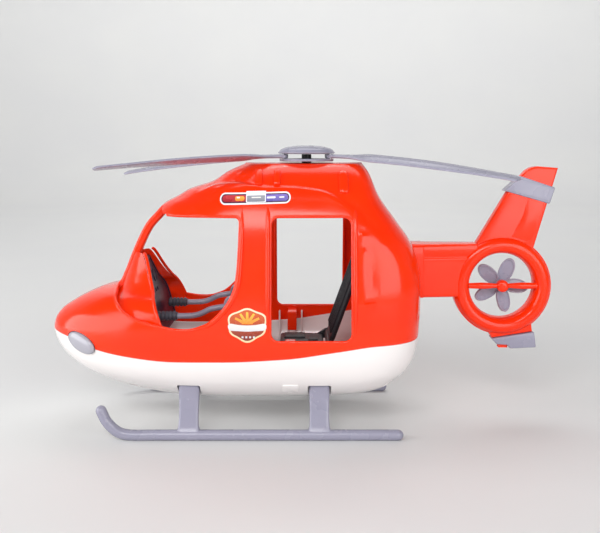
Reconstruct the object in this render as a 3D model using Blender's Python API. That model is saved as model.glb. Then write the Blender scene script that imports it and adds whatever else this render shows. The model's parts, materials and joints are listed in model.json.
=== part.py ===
"""Toy rescue helicopter, an assembly of moulded plastic pieces. Sizes below are in millimetres.

+X runs to the tail, -Y is the helicopter's left side, +Z is up. The skids rest on z = 0, and x = 0 is the
middle of the whole length. Every piece is finished by finish(), which turns millimetres into metres.
"""

from math import atan2, cos, hypot, pi, radians, sin

import bmesh
import bpy
from mathutils import Matrix, Vector

# ---------------------------------------------------------------- driving dimensions, millimetres
MM = 0.001
GAP = 0.3                       # clearance between neighbouring pieces
SCREW_SIDES = 8
WALL = 2.5                      # moulded wall of the cabin and the belly

CABIN_WIDE_Z = 90.0             # height where the cabin is widest
CABIN_HALF_WIDTH = 77.5
BELLY_Z = 27.0
ROOF_Z = 236.0
# The side outline of the cabin: nose and windscreen, then the rear, as (height, x).
NOSE_LINE = [
    (27, -130), (31, -150), (36, -169), (44, -191), (56, -213), (68, -225), (80, -231), (87, -232.5),
    (94, -231), (102, -225.5), (109, -215.5), (116, -202.5), (121.5, -188), (124.5, -175), (136, -168),
    (150, -162.5), (165, -156), (181, -147.5), (190, -139.5), (200, -129.5), (207, -116.4), (213, -106),
    (220, -85), (229, -71), (236, -55),
]
REAR_LINE = [
    (27, 30), (34, 57), (38, 72), (47, 84), (55, 92), (68, 98.5), (84, 101.5), (112, 103), (130, 103),
    (151, 100), (166, 94.5), (186, 81), (208, 66), (229, 57), (236, 52),
]
# The seam between the red cabin and the white belly, as (x, height).
SEAM_LINE = [
    (-240, 87.5), (-209, 84.7), (-181, 77), (-158, 73.5), (-110, 70), (-72, 70), (-18, 72.5), (28, 79),
    (60, 83.5), (110, 85),
]
SECTION_HEIGHTS = (
    27, 28.5, 32, 38, 46, 56, 66, 76, 87, 98, 106, 112, 118, 122.5, 127, 138, 152, 167, 181, 193, 203,
    212, 220.5, 229, 236,
)

# The open cockpit side, from the roof's front edge round the sill to the nose, as (x, height).
COCKPIT_OPENING = [
    (-200, 201), (-129.3, 201), (-129.3, 195.5), (-126, 192.5), (-60, 192), (-56.2, 191), (-55, 187.5),
    (-56.9, 144.7), (-59.6, 130.7), (-67.2, 116.5), (-79.5, 104.2), (-88, 99.8), (-98.4, 97.2),
    (-110.9, 97.6), (-121.6, 99.6), (-135.4, 102.3), (-145.7, 105.4), (-156.7, 110.8), (-163.7, 116.9),
    (-168, 122.1), (-176, 126), (-200, 130),
]
DOOR_X = (-30.0, 40.0)
DOOR_Z = (87.0, 192.0)
DOOR_RADIUS = 7.5

POST_DEPTH = 7.5                # windscreen centre post, along the view from the side
POST_HALF_WIDTH = 5.5
HOOD_INSET = WALL + GAP
HOOD_WALL = 2.0

BOOM_Z = (112.5, 162.0)
BOOM_END_X = 160.0
BOOM_HALF_WIDTH = 17.0
BOOM_TAPER = 0.45
RING_CENTRE = Vector((182.5, 0.0, 122.5))
RING_OUTER = 45.6
RING_INNER = 29.9
RING_HALF_WIDTH = 12.0
FIN_OUTLINE = [
    (140, 156), (186, 208.6), (199.5, 224.8), (203, 229), (208, 232.4), (215, 233.2), (233, 231.7),
    (211.7, 160), (208, 150),
]
FIN_HALF_WIDTH = 6.0
FOOT_OUTLINE = [(163, 92), (174.1, 73.3), (211.6, 79.2), (209.5, 96)]
CAP_OUTLINE = [(173.4, 72.9), (213, 79.1), (215, 64.6), (190.8, 63.4), (188.6, 67), (178.5, 67.4)]
COLLAR_LOW = [(185, 210.2), (223.8, 198.9)]
COLLAR_HIGH = [(200.2, 224.6), (228.3, 214)]

TAIL_SCREWS = {"upper": (205.0, 181.0), "tip": (218.0, 225.0)}
BOOM_SCREW_X = 96.0
BOOM_SCREWS = {
    "lower_left": (-8.0, 124.0), "upper_left": (-8.0, 150.0), "lower_right": (8.0, 124.0), "upper_right": (8.0, 150.0),
}

FAN_RADIUS = 26.5
FAN_Y = 2.0
PETALS = 5
PETAL_FIRST_ANGLE = 66.0
AXLE_RADIUS = 1.6

ROTOR_X = 1.2
MAST_RADIUS = 4.5
ROTOR_PLATE_Z = (237.8, 240.2)
ROTOR_PLATE_RADIUS = 25.0
CAP_Z = (244.6, 252.4)
CAP_RADIUS = 26.2
BLADE_Z = (240.6, 244.2)
BLADE_PIVOT = (21.5, 9.5)       # from the mast, along and across
BLADE_LENGTH = 169.5
BLADE_CHORD = 17.0
BLADE_THICK = 2.4
BLADE_PITCH = 8.0
# Each blade's angle to the long axis, part folded, and how far its tip hangs below its root.
BLADE_SPREAD = {"front_left": 22.0, "front_right": 18.5, "rear_left": 24.0, "rear_right": 24.0}
BLADE_DROOP = {"front_left": 9.5, "front_right": 17.5, "rear_left": 18.0, "rear_right": 18.0}

SKID_Y = 67.0
SKID_RADIUS = 4.6
SKID_X = (-158.0, 84.0)
LEG_X = (-100.5, 12.0)
LEG_WIDTH = 18.0

SEAT_HINGE = Vector((22.7, 0.0, 71.0))
SEAT_LEAN = 20.0
SEAT_HALF_WIDTH = 29.0
SEAT_BACK_LENGTH = 83.6

LEVER_Y = 31.0
LEVER_PIVOT = Vector((-66.0, 0.0, 111.0))
LEVER_ROUTE = [(-71.5, 108.4), (-78, 107.4), (-85.3, 105.8), (-92, 102.6), (-98.2, 100.5), (-106, 99.8), (-117, 99.8)]
LEVER_RADIUS = 2.5
GRIP_X = (-133.0, -114.5)

# Belly screws, as (x, distance from the middle): each drives up into a lug on a cabin half.
FIXINGS = [(-150.0, 44.0), (-13.0, 60.0), (72.0, 52.0)]
LUG_Z = 66.0

RED = (0.86, 0.065, 0.01)
WHITE = (0.83, 0.82, 0.80)
GREY = (0.42, 0.43, 0.50)
BLACK = (0.015, 0.015, 0.018)
DARK_GREY = (0.06, 0.06, 0.07)
STEEL = (0.55, 0.55, 0.56)


# ---------------------------------------------------------------- geometry helpers
def smooth_line(points, at):
    """The height of a smooth curve through points, which never overshoots between them."""
    steps = [(b[0] - a[0], (b[1] - a[1]) / (b[0] - a[0])) for a, b in zip(points, points[1:])]
    slopes = [steps[0][1]]
    for (before, fall), (after, rise) in zip(steps, steps[1:]):
        if fall * rise <= 0:
            slopes.append(0.0)
            continue
        near, far = 2 * after + before, after + 2 * before
        slopes.append((near + far) / (near / fall + far / rise))
    slopes.append(steps[-1][1])
    at = min(max(at, points[0][0]), points[-1][0])
    index = max(i for i in range(len(steps)) if at >= points[i][0] or i == 0)
    width = steps[index][0]
    t = (at - points[index][0]) / width
    return (
        (2 * t**3 - 3 * t**2 + 1) * points[index][1]
        + (t**3 - 2 * t**2 + t) * width * slopes[index]
        + (3 * t**2 - 2 * t**3) * points[index + 1][1]
        + (t**3 - t**2) * width * slopes[index + 1]
    )


def cabin_half_width(z):
    """Half the cabin's width at height z: a soft square above its widest line, a tub below it."""
    if z >= CABIN_WIDE_Z:
        return CABIN_HALF_WIDTH * (1 - min((z - CABIN_WIDE_Z) / 150, 1) ** 2.4) ** (1 / 2.4)
    return CABIN_HALF_WIDTH * (1 - min((CABIN_WIDE_Z - z) / 65, 1) ** 2.6) ** (1 / 2.6)


def cabin_plan(z, round_points=7, rear_points=5):
    """The cabin's outline at height z seen from above: bullet nose, parallel sides, squarish rear."""
    front, rear, half = smooth_line(NOSE_LINE, z), smooth_line(REAR_LINE, z), cabin_half_width(z)
    front_length, rear_length = 0.42 * (rear - front), 0.25 * (rear - front)
    side = []
    for i in range(1, round_points + 1):
        a = (pi / 2) * i / round_points
        side.append((front + front_length * (1 - cos(a) ** (2 / 2.1)), half * sin(a) ** (2 / 2.1)))
    for i in range(1, 4):
        side.append((front + front_length + (rear - front - front_length - rear_length) * i / 3, half))
    for i in range(1, rear_points):
        a = (pi / 2) * (1 - i / rear_points)
        side.append((rear - rear_length * (1 - cos(a) ** 0.5), half * sin(a) ** 0.5))
    right = [(x, -y) for x, y in reversed(side)]
    return [(front, 0.0)] + side + [(rear, 0.0)] + right


def side_at(x, z):
    """How far the cabin's surface is from the middle plane at x and height z."""
    outline = [point for point in cabin_plan(z, 24, 16) if point[1] >= 0]
    for (x0, y0), (x1, y1) in zip(outline, outline[1:]):
        if x0 <= x <= x1:
            return y0 + (y1 - y0) * (x - x0) / max(x1 - x0, 1e-6)
    return 0.0


def new_object(name, bm):
    bmesh.ops.recalc_face_normals(bm, faces=bm.faces)
    mesh = bpy.data.meshes.new(name)
    bm.to_mesh(mesh)
    bm.free()
    made = bpy.data.objects.new(name, mesh)
    bpy.context.scene.collection.objects.link(made)
    return made


def loft(name, rings, closed_ends=True):
    """A solid through rings of the same number of points."""
    bm = bmesh.new()
    layers = [[bm.verts.new(point) for point in ring] for ring in rings]
    for low, high in zip(layers, layers[1:]):
        for i in range(len(low)):
            j = (i + 1) % len(low)
            bm.faces.new((low[i], low[j], high[j], high[i]))
    if closed_ends:
        bm.faces.new(layers[0])
        bm.faces.new(layers[-1])
    else:
        for i in range(len(layers[0])):
            j = (i + 1) % len(layers[0])
            bm.faces.new((layers[-1][i], layers[-1][j], layers[0][j], layers[0][i]))
    return new_object(name, bm)


def cabin_solid(name, inset=0.0):
    """The whole cabin and belly as one solid, with its surface moved inwards by inset."""
    made = loft(name, [[(x, y, z) for x, y in cabin_plan(z)] for z in SECTION_HEIGHTS])
    if inset:
        bm = bmesh.new()
        bm.from_mesh(made.data)
        bm.normal_update()
        moves = [(v, v.normal * inset) for v in bm.verts]
        for v, move in moves:
            v.co -= move
        bm.to_mesh(made.data)
        bm.free()
    return made


def prism(name, outline, y0, y1):
    """A plate whose outline, in (x, z), runs from y0 to y1."""
    return loft(name, [[(x, y, z) for x, z in outline] for y in (y0, y1)])


def box(name, x, y, z):
    """A box from three (low, high) pairs."""
    return prism(name, [(x[0], z[0]), (x[1], z[0]), (x[1], z[1]), (x[0], z[1])], y[0], y[1])


def frame_of(direction):
    """Two directions square to the given one."""
    across = direction.cross(Vector((0, 0, 1)) if abs(direction.z) < 0.9 else Vector((0, 1, 0))).normalized()
    return across, direction.cross(across).normalized()


def turned(name, start, direction, profile, sides=16):
    """A turned solid: profile holds (distance along direction, radius) pairs."""
    start, direction = Vector(start), Vector(direction).normalized()
    across, up = frame_of(direction)
    rings = []
    for along, radius in profile:
        middle = start + direction * along
        angles = [2 * pi * i / sides for i in range(sides)]
        rings.append([middle + (across * cos(a) + up * sin(a)) * radius for a in angles])
    return loft(name, rings)


def rod(name, start, end, radius, sides=16):
    start, end = Vector(start), Vector(end)
    return turned(name, start, end - start, [(0, radius), ((end - start).length, radius)], sides)


def tube_along(name, points, radius, sides=10, turn=0.0):
    """A solid round bar whose middle runs through the points, with flat ends."""
    points = [Vector(p) for p in points]
    side = Vector((0, 1, 0))
    rings = []
    for i, point in enumerate(points):
        along = (points[min(i + 1, len(points) - 1)] - points[max(i - 1, 0)]).normalized()
        across = (side - along * side.dot(along)).normalized()
        up = along.cross(across)
        angles = [2 * pi * (k + turn) / sides for k in range(sides)]
        rings.append([point + (across * cos(a) + up * sin(a)) * radius for a in angles])
    return loft(name, rings)


def combine(target, tool, operation="DIFFERENCE"):
    """Cut, join or intersect target with tool, and remove the tool."""
    step = target.modifiers.new(operation, "BOOLEAN")
    step.operation = operation
    step.solver = "EXACT"
    step.object = tool
    bpy.context.view_layer.update()
    result = bpy.data.meshes.new_from_object(target.evaluated_get(bpy.context.evaluated_depsgraph_get()))
    target.modifiers.clear()
    target.data = result
    bpy.data.objects.remove(tool)
    return target


def copy_of(source, name):
    made = bpy.data.objects.new(name, source.data.copy())
    bpy.context.scene.collection.objects.link(made)
    return made


def mirrored(source, name):
    """The same piece for the other side."""
    made = copy_of(source, name)
    bm = bmesh.new()
    bm.from_mesh(made.data)
    bmesh.ops.transform(bm, matrix=Matrix.Diagonal((1, -1, 1, 1)), verts=bm.verts)
    bmesh.ops.reverse_faces(bm, faces=bm.faces)
    bm.to_mesh(made.data)
    bm.free()
    return made


def rounded_rectangle(x, z, radius, steps=4):
    corners = [(x[1], z[1], 0), (x[0], z[1], 90), (x[0], z[0], 180), (x[1], z[0], 270)]
    outline = []
    for cx, cz, first in corners:
        cx += radius * (-1 if cx == x[1] else 1)
        cz += radius * (-1 if cz == z[1] else 1)
        for i in range(steps + 1):
            a = radians(first + 90 * i / steps)
            outline.append((cx + radius * cos(a), cz + radius * sin(a)))
    return outline


def bevelled(target, width, angle=35.0, segments=2):
    """Round a piece's sharp edges."""
    bm = bmesh.new()
    bm.from_mesh(target.data)
    sharp = [e for e in bm.edges if len(e.link_faces) == 2 and e.calc_face_angle() > radians(angle)]
    bmesh.ops.bevel(bm, geom=sharp, offset=width, segments=segments, affect="EDGES", clamp_overlap=True)
    bm.to_mesh(target.data)
    bm.free()
    return target


def finish(piece, colour, roughness=0.3, metallic=0.0, origin=(0, 0, 0), smooth_angle=35.0):
    """Weld, colour and shade a piece, and set it in metres with its origin where it is wanted."""
    bm = bmesh.new()
    bm.from_mesh(piece.data)
    bmesh.ops.remove_doubles(bm, verts=bm.verts, dist=0.01)
    bmesh.ops.dissolve_degenerate(bm, edges=bm.edges, dist=0.005)
    bmesh.ops.dissolve_limit(bm, angle_limit=radians(0.6), verts=bm.verts, edges=bm.edges)
    loose = [edge for edge in bm.edges if not edge.link_faces]
    bmesh.ops.delete(bm, geom=loose, context="EDGES")
    bmesh.ops.triangulate(bm, faces=bm.faces)
    bm.to_mesh(piece.data)
    bm.free()
    origin = Vector(origin)
    piece.data.transform(Matrix.Scale(MM, 4) @ Matrix.Translation(-origin))
    piece.location = origin * MM
    paint = bpy.data.materials.new(piece.name)
    paint.use_nodes = True
    shader = paint.node_tree.nodes["Principled BSDF"]
    shader.inputs["Base Color"].default_value = (*colour, 1.0)
    shader.inputs["Roughness"].default_value = roughness
    shader.inputs["Metallic"].default_value = metallic
    paint.diffuse_color = (*colour, 1.0)
    piece.data.materials.clear()
    piece.data.materials.append(paint)
    piece.data.shade_smooth()
    piece.data.set_sharp_from_angle(angle=radians(smooth_angle))
    return piece


# ---------------------------------------------------------------- screws
def screw(name, head, direction, length, radius=1.4, head_radius=2.8):
    """A slotted screw. head is the outer face of its head, and direction points into the work."""
    profile = [(0, head_radius), (1.8, head_radius), (1.8, radius), (length, radius)]
    made = turned(name, head, direction, profile, SCREW_SIDES)
    slot = box("slot", (-4, 4), (-0.35, 0.35), (-1, 0.8))
    turn = Vector((0, 0, 1)).rotation_difference(Vector(direction)).to_matrix().to_4x4()
    slot.data.transform(Matrix.Translation(Vector(head)) @ turn)
    return finish(combine(made, slot), STEEL, 0.35, 1.0, origin=head)


def drill(piece, head, direction, length, radius=1.4, head_radius=2.8, back=12.0):
    """The stepped hole for a screw, open for a screwdriver behind its head."""
    profile = [
        (-back, head_radius + GAP), (1.8 + GAP, head_radius + GAP), (1.8 + GAP, radius + GAP),
        (length + GAP, radius + GAP),
    ]
    return combine(piece, turned("drill", head, direction, profile, SCREW_SIDES))


# ---------------------------------------------------------------- cabin and belly
def seam_cutter(name, above):
    """Everything above, or below, the seam between cabin and belly."""
    curve = [(x, smooth_line(SEAM_LINE, x)) for x in range(-240, 111, 14)]
    shift, far = (GAP / 2, 260) if above else (-GAP / 2, 0)
    outline = [(x, z + shift) for x, z in curve] + [(curve[-1][0], far), (curve[0][0], far)]
    return prism(name, outline, -90, 90)


def half_space(name, side):
    return box(name, (-260, 260), (GAP / 2, 110) if side > 0 else (-110, -GAP / 2), (-10, 280))


def fixing_lug(x, y, side):
    """A bracket on a cabin half which a belly screw bites into."""
    wall = min(side_at(x - 4.6, 84), side_at(x + 4.6, 84)) - 0.8
    inside = min(side_at(x - 4.6, LUG_Z), side_at(x + 4.6, LUG_Z)) - WALL - 1.5
    seam = smooth_line(SEAM_LINE, x)
    ys = sorted((side * (y - 5), side * inside))
    lug = box("lug", (x - 4.6, x + 4.6), ys, (LUG_Z, seam + 12))
    ys = sorted((side * (y - 5), side * wall))
    return combine(lug, box("lug", (x - 4.6, x + 4.6), ys, (seam + 2.0, seam + 12)), "UNION")


def make_cabin():
    """The two red cabin halves, with their cockpit and door openings."""
    shell = combine(cabin_solid("cabin"), cabin_solid("cabin_inside", WALL))
    combine(shell, seam_cutter("above", True), "INTERSECT")
    combine(shell, prism("cockpit", COCKPIT_OPENING, -100, 100))
    combine(shell, prism("door", rounded_rectangle(DOOR_X, DOOR_Z, DOOR_RADIUS), -100, 100))
    for x, y in FIXINGS:
        for side in (-1, 1):
            combine(shell, fixing_lug(x, y, side), "UNION")
            combine(shell, rod("pilot", (x, side * y, LUG_Z - 2), (x, side * y, LUG_Z + 7), 1.7, 12))
    combine(shell, rod("mast_hole", (ROTOR_X, 0, 225), (ROTOR_X, 0, 245), MAST_RADIUS + GAP, 24))
    for y, z in BOOM_SCREWS.values():
        drill(shell, (BOOM_SCREW_X, y, z), (1, 0, 0), 20.0)
    for side in (-1, 1):
        combine(shell, lamp_solid("lamp_pocket", side, GAP), "DIFFERENCE")
    for name, side in (("cabin_shell_left", -1), ("cabin_shell_right", 1)):
        half = combine(copy_of(shell, name), half_space("half", side), "INTERSECT")
        finish(half, RED, 0.16)
    bpy.data.objects.remove(shell)


def make_belly():
    """The white belly tub with its skid pockets, screw posts and locating ribs."""
    belly = combine(cabin_solid("belly_shell"), cabin_solid("belly_inside", WALL))
    for x in LEG_X:
        for side in (-1, 1):
            ys = sorted((side * 48.5, side * 80))
            pocket = combine(box("pocket", (x - 12.5, x + 12.5), ys, (20, 49.5)), cabin_solid("trim"), "INTERSECT")
            combine(belly, pocket, "UNION")
    for x, y in FIXINGS:
        for side in (-1, 1):
            post = rod("post", (x, side * y, 20), (x, side * y, LUG_Z - GAP), 4.2, 14)
            combine(belly, combine(post, cabin_solid("trim", 0.4), "INTERSECT"), "UNION")
    for x in (-26.0, -3.2):
        for side in (-1, 1):
            ys = sorted((side * 67.5, side * 73.6))
            rib = combine(box("rib", (x - 0.8, x + 0.8), ys, (46, 83)), cabin_solid("trim", 0.5), "INTERSECT")
            combine(belly, rib, "UNION")
    below = seam_cutter("below", False)
    rib_room = box("rib_room", (-30, 0), (-73.2, 73.2), (60, 90))
    combine(belly, combine(below, rib_room, "UNION"), "INTERSECT")
    for x in LEG_X:
        for side in (-1, 1):
            ys = sorted((side * 51, side * 90))
            combine(belly, box("pocket", (x - 10, x + 10), ys, (10, 47)))
            drill(belly, (x, side * 56, 38.0), (0, 0, 1), 14.0)
    for x, y in FIXINGS:
        for side in (-1, 1):
            drill(belly, (x, side * y, fixing_head(x, y)), (0, 0, 1), 34.0, back=20)
    for side in (-1, 1):
        combine(belly, lamp_solid("lamp_pocket", side, GAP), "DIFFERENCE")
    combine(belly, rod("seat_hole", (0, 0, 20), (0, 0, 33), 1.7, 12))
    finish(belly, WHITE, 0.22)


def fixing_head(x, y):
    """The height of a belly screw's head, just inside the belly's outer face."""
    z = BELLY_Z
    while side_at(x, z) < y + 3.2:
        z += 0.5
    return z + 2.0


def make_belly_screws():
    names = ("front", "middle", "rear")
    for place, (x, y) in zip(names, FIXINGS):
        for hand, side in (("left", -1), ("right", 1)):
            head = fixing_head(x, y)
            screw(f"belly_screw_{place}_{hand}", (x, side * y, head), (0, 0, 1), LUG_Z + 6.0 - head)


# ---------------------------------------------------------------- nose
def lamp_solid(name, side, grow=0.0):
    """A cat-eye headlamp: a long low dome on the seam at the corner of the nose."""
    middle = Vector((-195.0, side * 53.0, 81.0))
    along = Vector((0.80, side * 0.52, -0.27)).normalized()
    out = Vector((-0.56, side * 0.80, -0.10))
    out = (out - along * out.dot(along)).normalized()
    up = along.cross(out)
    rings = []
    for i in range(7):
        a = radians(-78 + 78 * 2 * i / 6)
        size = cos(a)
        ring = []
        for k in range(16):
            b = 2 * pi * k / 16
            flat = along * (16.5 + grow) * cos(b) * size + up * (8.4 + grow) * sin(b) * size
            ring.append(middle + flat + out * (4.2 + grow) * sin(a))
        rings.append(ring)
    return loft(name, rings)


def make_headlamps():
    finish(lamp_solid("headlamp_left", -1), GREY, 0.25)
    finish(lamp_solid("headlamp_right", 1), GREY, 0.25)


def make_nose_hood():
    """The red hood under the windscreen and its centre post, in one moulding."""
    hood = combine(cabin_solid("nose_hood", HOOD_INSET), cabin_solid("hood_inside", HOOD_INSET + HOOD_WALL))
    outline = [
        (-151, 154.5), (-146.8, 151.8), (-138.3, 132.5), (-129.6, 115.4), (-122.8, 99.8), (-121.5, 92),
        (-134, 95), (-146, 98.5), (-158, 104), (-167, 110), (-174, 117), (-182, 121), (-184, 130), (-168, 154.5),
    ]
    combine(hood, prism("hood_side", outline, -90, 90), "INTERSECT")
    heights = [125.8 + (199.4 - 125.8) * i / 12 for i in range(13)]
    front = [(smooth_line(NOSE_LINE, z) + GAP, z) for z in heights]
    back = []
    for (x0, z0), (x1, z1) in zip(front, front[1:]):
        length = hypot(x1 - x0, z1 - z0)
        middle = ((x0 + x1) / 2, (z0 + z1) / 2)
        back.append((middle[0] + POST_DEPTH * (z1 - z0) / length, middle[1] - POST_DEPTH * (x1 - x0) / length))
    top = (-129.8, 190.2)
    outline = front + [top] + list(reversed(back[:-1]))
    outline = [point for i, point in enumerate(outline) if i < len(front) or point[0] < -129.8 or point == top]
    post = bevelled(prism("post", outline, -POST_HALF_WIDTH, POST_HALF_WIDTH), 1.6, 60, 1)
    combine(hood, post, "UNION")
    finish(hood, RED, 0.16)


def make_dashboard():
    """A black panel across the cabin behind the hood, with a raised edge."""
    top, low = Vector((-151.0, 0, 148.0)), Vector((-133.5, 0, 76.0))
    slope = (low - top).normalized()
    face = Vector((-slope.z, 0, slope.x))
    corners = [top, top + face * 3.0, low + face * 3.0, low]
    panel = prism("dashboard", [(c.x, c.z) for c in corners], -70, 70)
    combine(panel, cabin_solid("trim", HOOD_INSET + HOOD_WALL + GAP + 0.3), "INTERSECT")
    finish(panel, BLACK, 0.3)


# ---------------------------------------------------------------- tail
def ring_solid(name, inset=0.0, sides=32, tube=10):
    """The round duct about the tail fan, a fat ring."""
    middle = (RING_OUTER + RING_INNER) / 2
    thick = (RING_OUTER - RING_INNER) / 2 - inset
    wide = RING_HALF_WIDTH - inset
    rings = []
    for i in range(sides):
        a = 2 * pi * i / sides
        out = Vector((cos(a), 0, sin(a)))
        ring = []
        for k in range(tube):
            b = 2 * pi * k / tube
            depth = wide * (abs(sin(b)) ** 0.85) * (1 if sin(b) > 0 else -1)
            ring.append(RING_CENTRE + out * (middle + thick * cos(b)) + Vector((0, depth, 0)))
        rings.append(ring)
    return loft(name, rings, closed_ends=False)


def make_tail():
    """The boom, fin and fan duct, moulded as two halves, with the fan's bar on the left one."""
    outline = [(88, BOOM_Z[0]), (BOOM_END_X, BOOM_Z[0]), (BOOM_END_X, BOOM_Z[1]), (88, BOOM_Z[1])]
    boom = bevelled(prism("boom", outline, -BOOM_HALF_WIDTH, BOOM_HALF_WIDTH), 6.0, 60, 2)
    hollow = [(80, BOOM_Z[0] + 3), (137, BOOM_Z[0] + 3), (137, BOOM_Z[1] - 3), (80, BOOM_Z[1] - 3)]
    web_half_width = BOOM_HALF_WIDTH - 3
    combine(boom, bevelled(prism("hollow", hollow, -web_half_width, web_half_width), 4.5, 60, 2))
    wall = [(108, BOOM_Z[0] + 2), (112, BOOM_Z[0] + 2), (112, BOOM_Z[1] - 2), (108, BOOM_Z[1] - 2)]
    combine(boom, prism("wall", wall, -web_half_width - 1, web_half_width + 1), "UNION")
    for vertex in boom.data.vertices:
        vertex.co.y *= 1 - BOOM_TAPER * (vertex.co.x - 88) / (BOOM_END_X - 88)
    fin = bevelled(prism("fin", FIN_OUTLINE, -FIN_HALF_WIDTH, FIN_HALF_WIDTH), 2.0, 50, 1)
    foot = bevelled(prism("foot", FOOT_OUTLINE, -FIN_HALF_WIDTH, FIN_HALF_WIDTH), 1.5, 50, 1)
    tail = combine(boom, fin, "UNION")
    combine(tail, foot, "UNION")
    bore = turned("bore", RING_CENTRE - Vector((0, 40, 0)), (0, 1, 0), [(0, 37), (80, 37)], 28)
    combine(tail, bore)
    combine(tail, ring_solid("duct"), "UNION")
    combine(tail, cabin_solid("cabin_room", -GAP))
    left = combine(copy_of(tail, "tail_shell_left"), half_space("half", -1), "INTERSECT")
    right = combine(tail, half_space("half", 1), "INTERSECT")
    right.name = "tail_shell_right"
    bar = box(
        "bar", (RING_CENTRE.x - RING_INNER - 4, RING_CENTRE.x + RING_INNER + 4), (-9.5, -5.5),
        (RING_CENTRE.z - 2.6, RING_CENTRE.z + 2.6),
    )
    bevelled(bar, 1.0, 50, 1)
    boss = turned(
        "boss", RING_CENTRE - Vector((0, 11.6, 0)), (0, 1, 0), [(0, 4.2), (1.4, 5.6), (7.2, 5.6)], 20
    )
    combine(left, combine(bar, boss, "UNION"), "UNION")
    combine(left, rod("axle_hole", RING_CENTRE - Vector((0, 9.6, 0)), RING_CENTRE, AXLE_RADIUS + GAP, 14))
    for x, z in TAIL_SCREWS.values():
        for half in (left, right):
            drill(half, (x, FIN_HALF_WIDTH - 0.4, z), (0, -1, 0), FIN_HALF_WIDTH + 3.4)
    for y, z in BOOM_SCREWS.values():
        drill(left if y < 0 else right, (BOOM_SCREW_X, y, z), (1, 0, 0), 20.0)
    finish(left, RED, 0.16)
    finish(right, RED, 0.16)


def make_tail_screws():
    for place, (x, z) in TAIL_SCREWS.items():
        screw(f"tail_screw_{place}", (x, FIN_HALF_WIDTH - 0.4, z), (0, -1, 0), FIN_HALF_WIDTH + 3.0)
    for place, (y, z) in BOOM_SCREWS.items():
        screw(f"boom_screw_{place}", (BOOM_SCREW_X, y, z), (1, 0, 0), 19.0)


def make_fin_trim():
    """The grey sleeve round the fin, and the grey cap on its lower end."""
    low, high = COLLAR_LOW, COLLAR_HIGH
    outline = [(low[0][0] - 2, low[0][1]), (low[1][0] + 2, low[1][1]), (high[1][0] + 2, high[1][1]),
               (high[0][0] - 3, high[0][1])]
    sleeve = bevelled(prism("fin_collar", outline, -FIN_HALF_WIDTH - 1.9, FIN_HALF_WIDTH + 1.9), 1.0, 50, 1)
    centre = Vector((205, 205))
    room = []
    for x, z in FIN_OUTLINE:
        away = (Vector((x, z)) - centre).normalized() * 0.45
        room.append((x + away.x, z + away.y))
    combine(sleeve, prism("fin_room", room, -FIN_HALF_WIDTH - GAP, FIN_HALF_WIDTH + GAP))
    finish(sleeve, GREY, 0.3)
    cap = bevelled(prism("fin_foot_cap", CAP_OUTLINE, -FIN_HALF_WIDTH - 1, FIN_HALF_WIDTH + 1), 0.8, 50, 1)
    finish(cap, GREY, 0.3)


def make_tail_fan():
    """Five petals on a hub, and the axle that holds the fan to the duct's bar."""
    hub_at = Vector((RING_CENTRE.x, FAN_Y, RING_CENTRE.z))
    fan = turned("tail_fan", hub_at - Vector((0, 4, 0)), (0, 1, 0), [(0, 4.6), (0.6, 5.2), (7.4, 5.2), (8, 4.6)], 16)
    for i in range(PETALS):
        turn = radians(PETAL_FIRST_ANGLE + 360 / PETALS * i)
        out = Vector((cos(turn), 0, sin(turn)))
        side = Vector((-sin(turn), 0, cos(turn)))
        pitch = radians(24)
        across = side * cos(pitch) + Vector((0, sin(pitch), 0))
        normal = out.cross(across)
        rings = []
        for k in range(6):
            t = k / 5
            along = 3.5 + (FAN_RADIUS - 3.5) * t
            half = 6.4 * max(sin(pi * (0.16 + 0.82 * t)), 0.06) ** 0.62
            middle = hub_at + out * along
            rings.append([
                middle + across * half + normal * 0.3, middle + normal * 0.9, middle - across * half + normal * 0.3,
                middle - across * half - normal * 0.3, middle - normal * 0.9, middle + across * half - normal * 0.3,
            ])
        combine(fan, loft("petal", rings), "UNION")
    ends = Vector((0, 12, 0))
    combine(fan, rod("axle_hole", hub_at - ends, hub_at + ends, AXLE_RADIUS + GAP, 14))
    finish(fan, GREY, 0.3, origin=RING_CENTRE)
    start = RING_CENTRE - Vector((0, 9.2, 0))
    profile = [(0, AXLE_RADIUS), (15.6, AXLE_RADIUS), (15.6, 3.4), (17.0, 3.4), (17.6, 2.8)]
    finish(turned("fan_axle", start, (0, 1, 0), profile, 14), STEEL, 0.3, 1.0)


# ---------------------------------------------------------------- main rotor
def blade_root(place):
    """A blade's pivot and the angle it points along, seen from above."""
    along = -1 if place.startswith("front") else 1
    across = -1 if place.endswith("left") else 1
    pivot = Vector((ROTOR_X + along * BLADE_PIVOT[0], across * BLADE_PIVOT[1], 0))
    spread = radians(BLADE_SPREAD[place])
    angle = atan2(across * sin(spread), along * cos(spread))
    return pivot, angle


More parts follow.
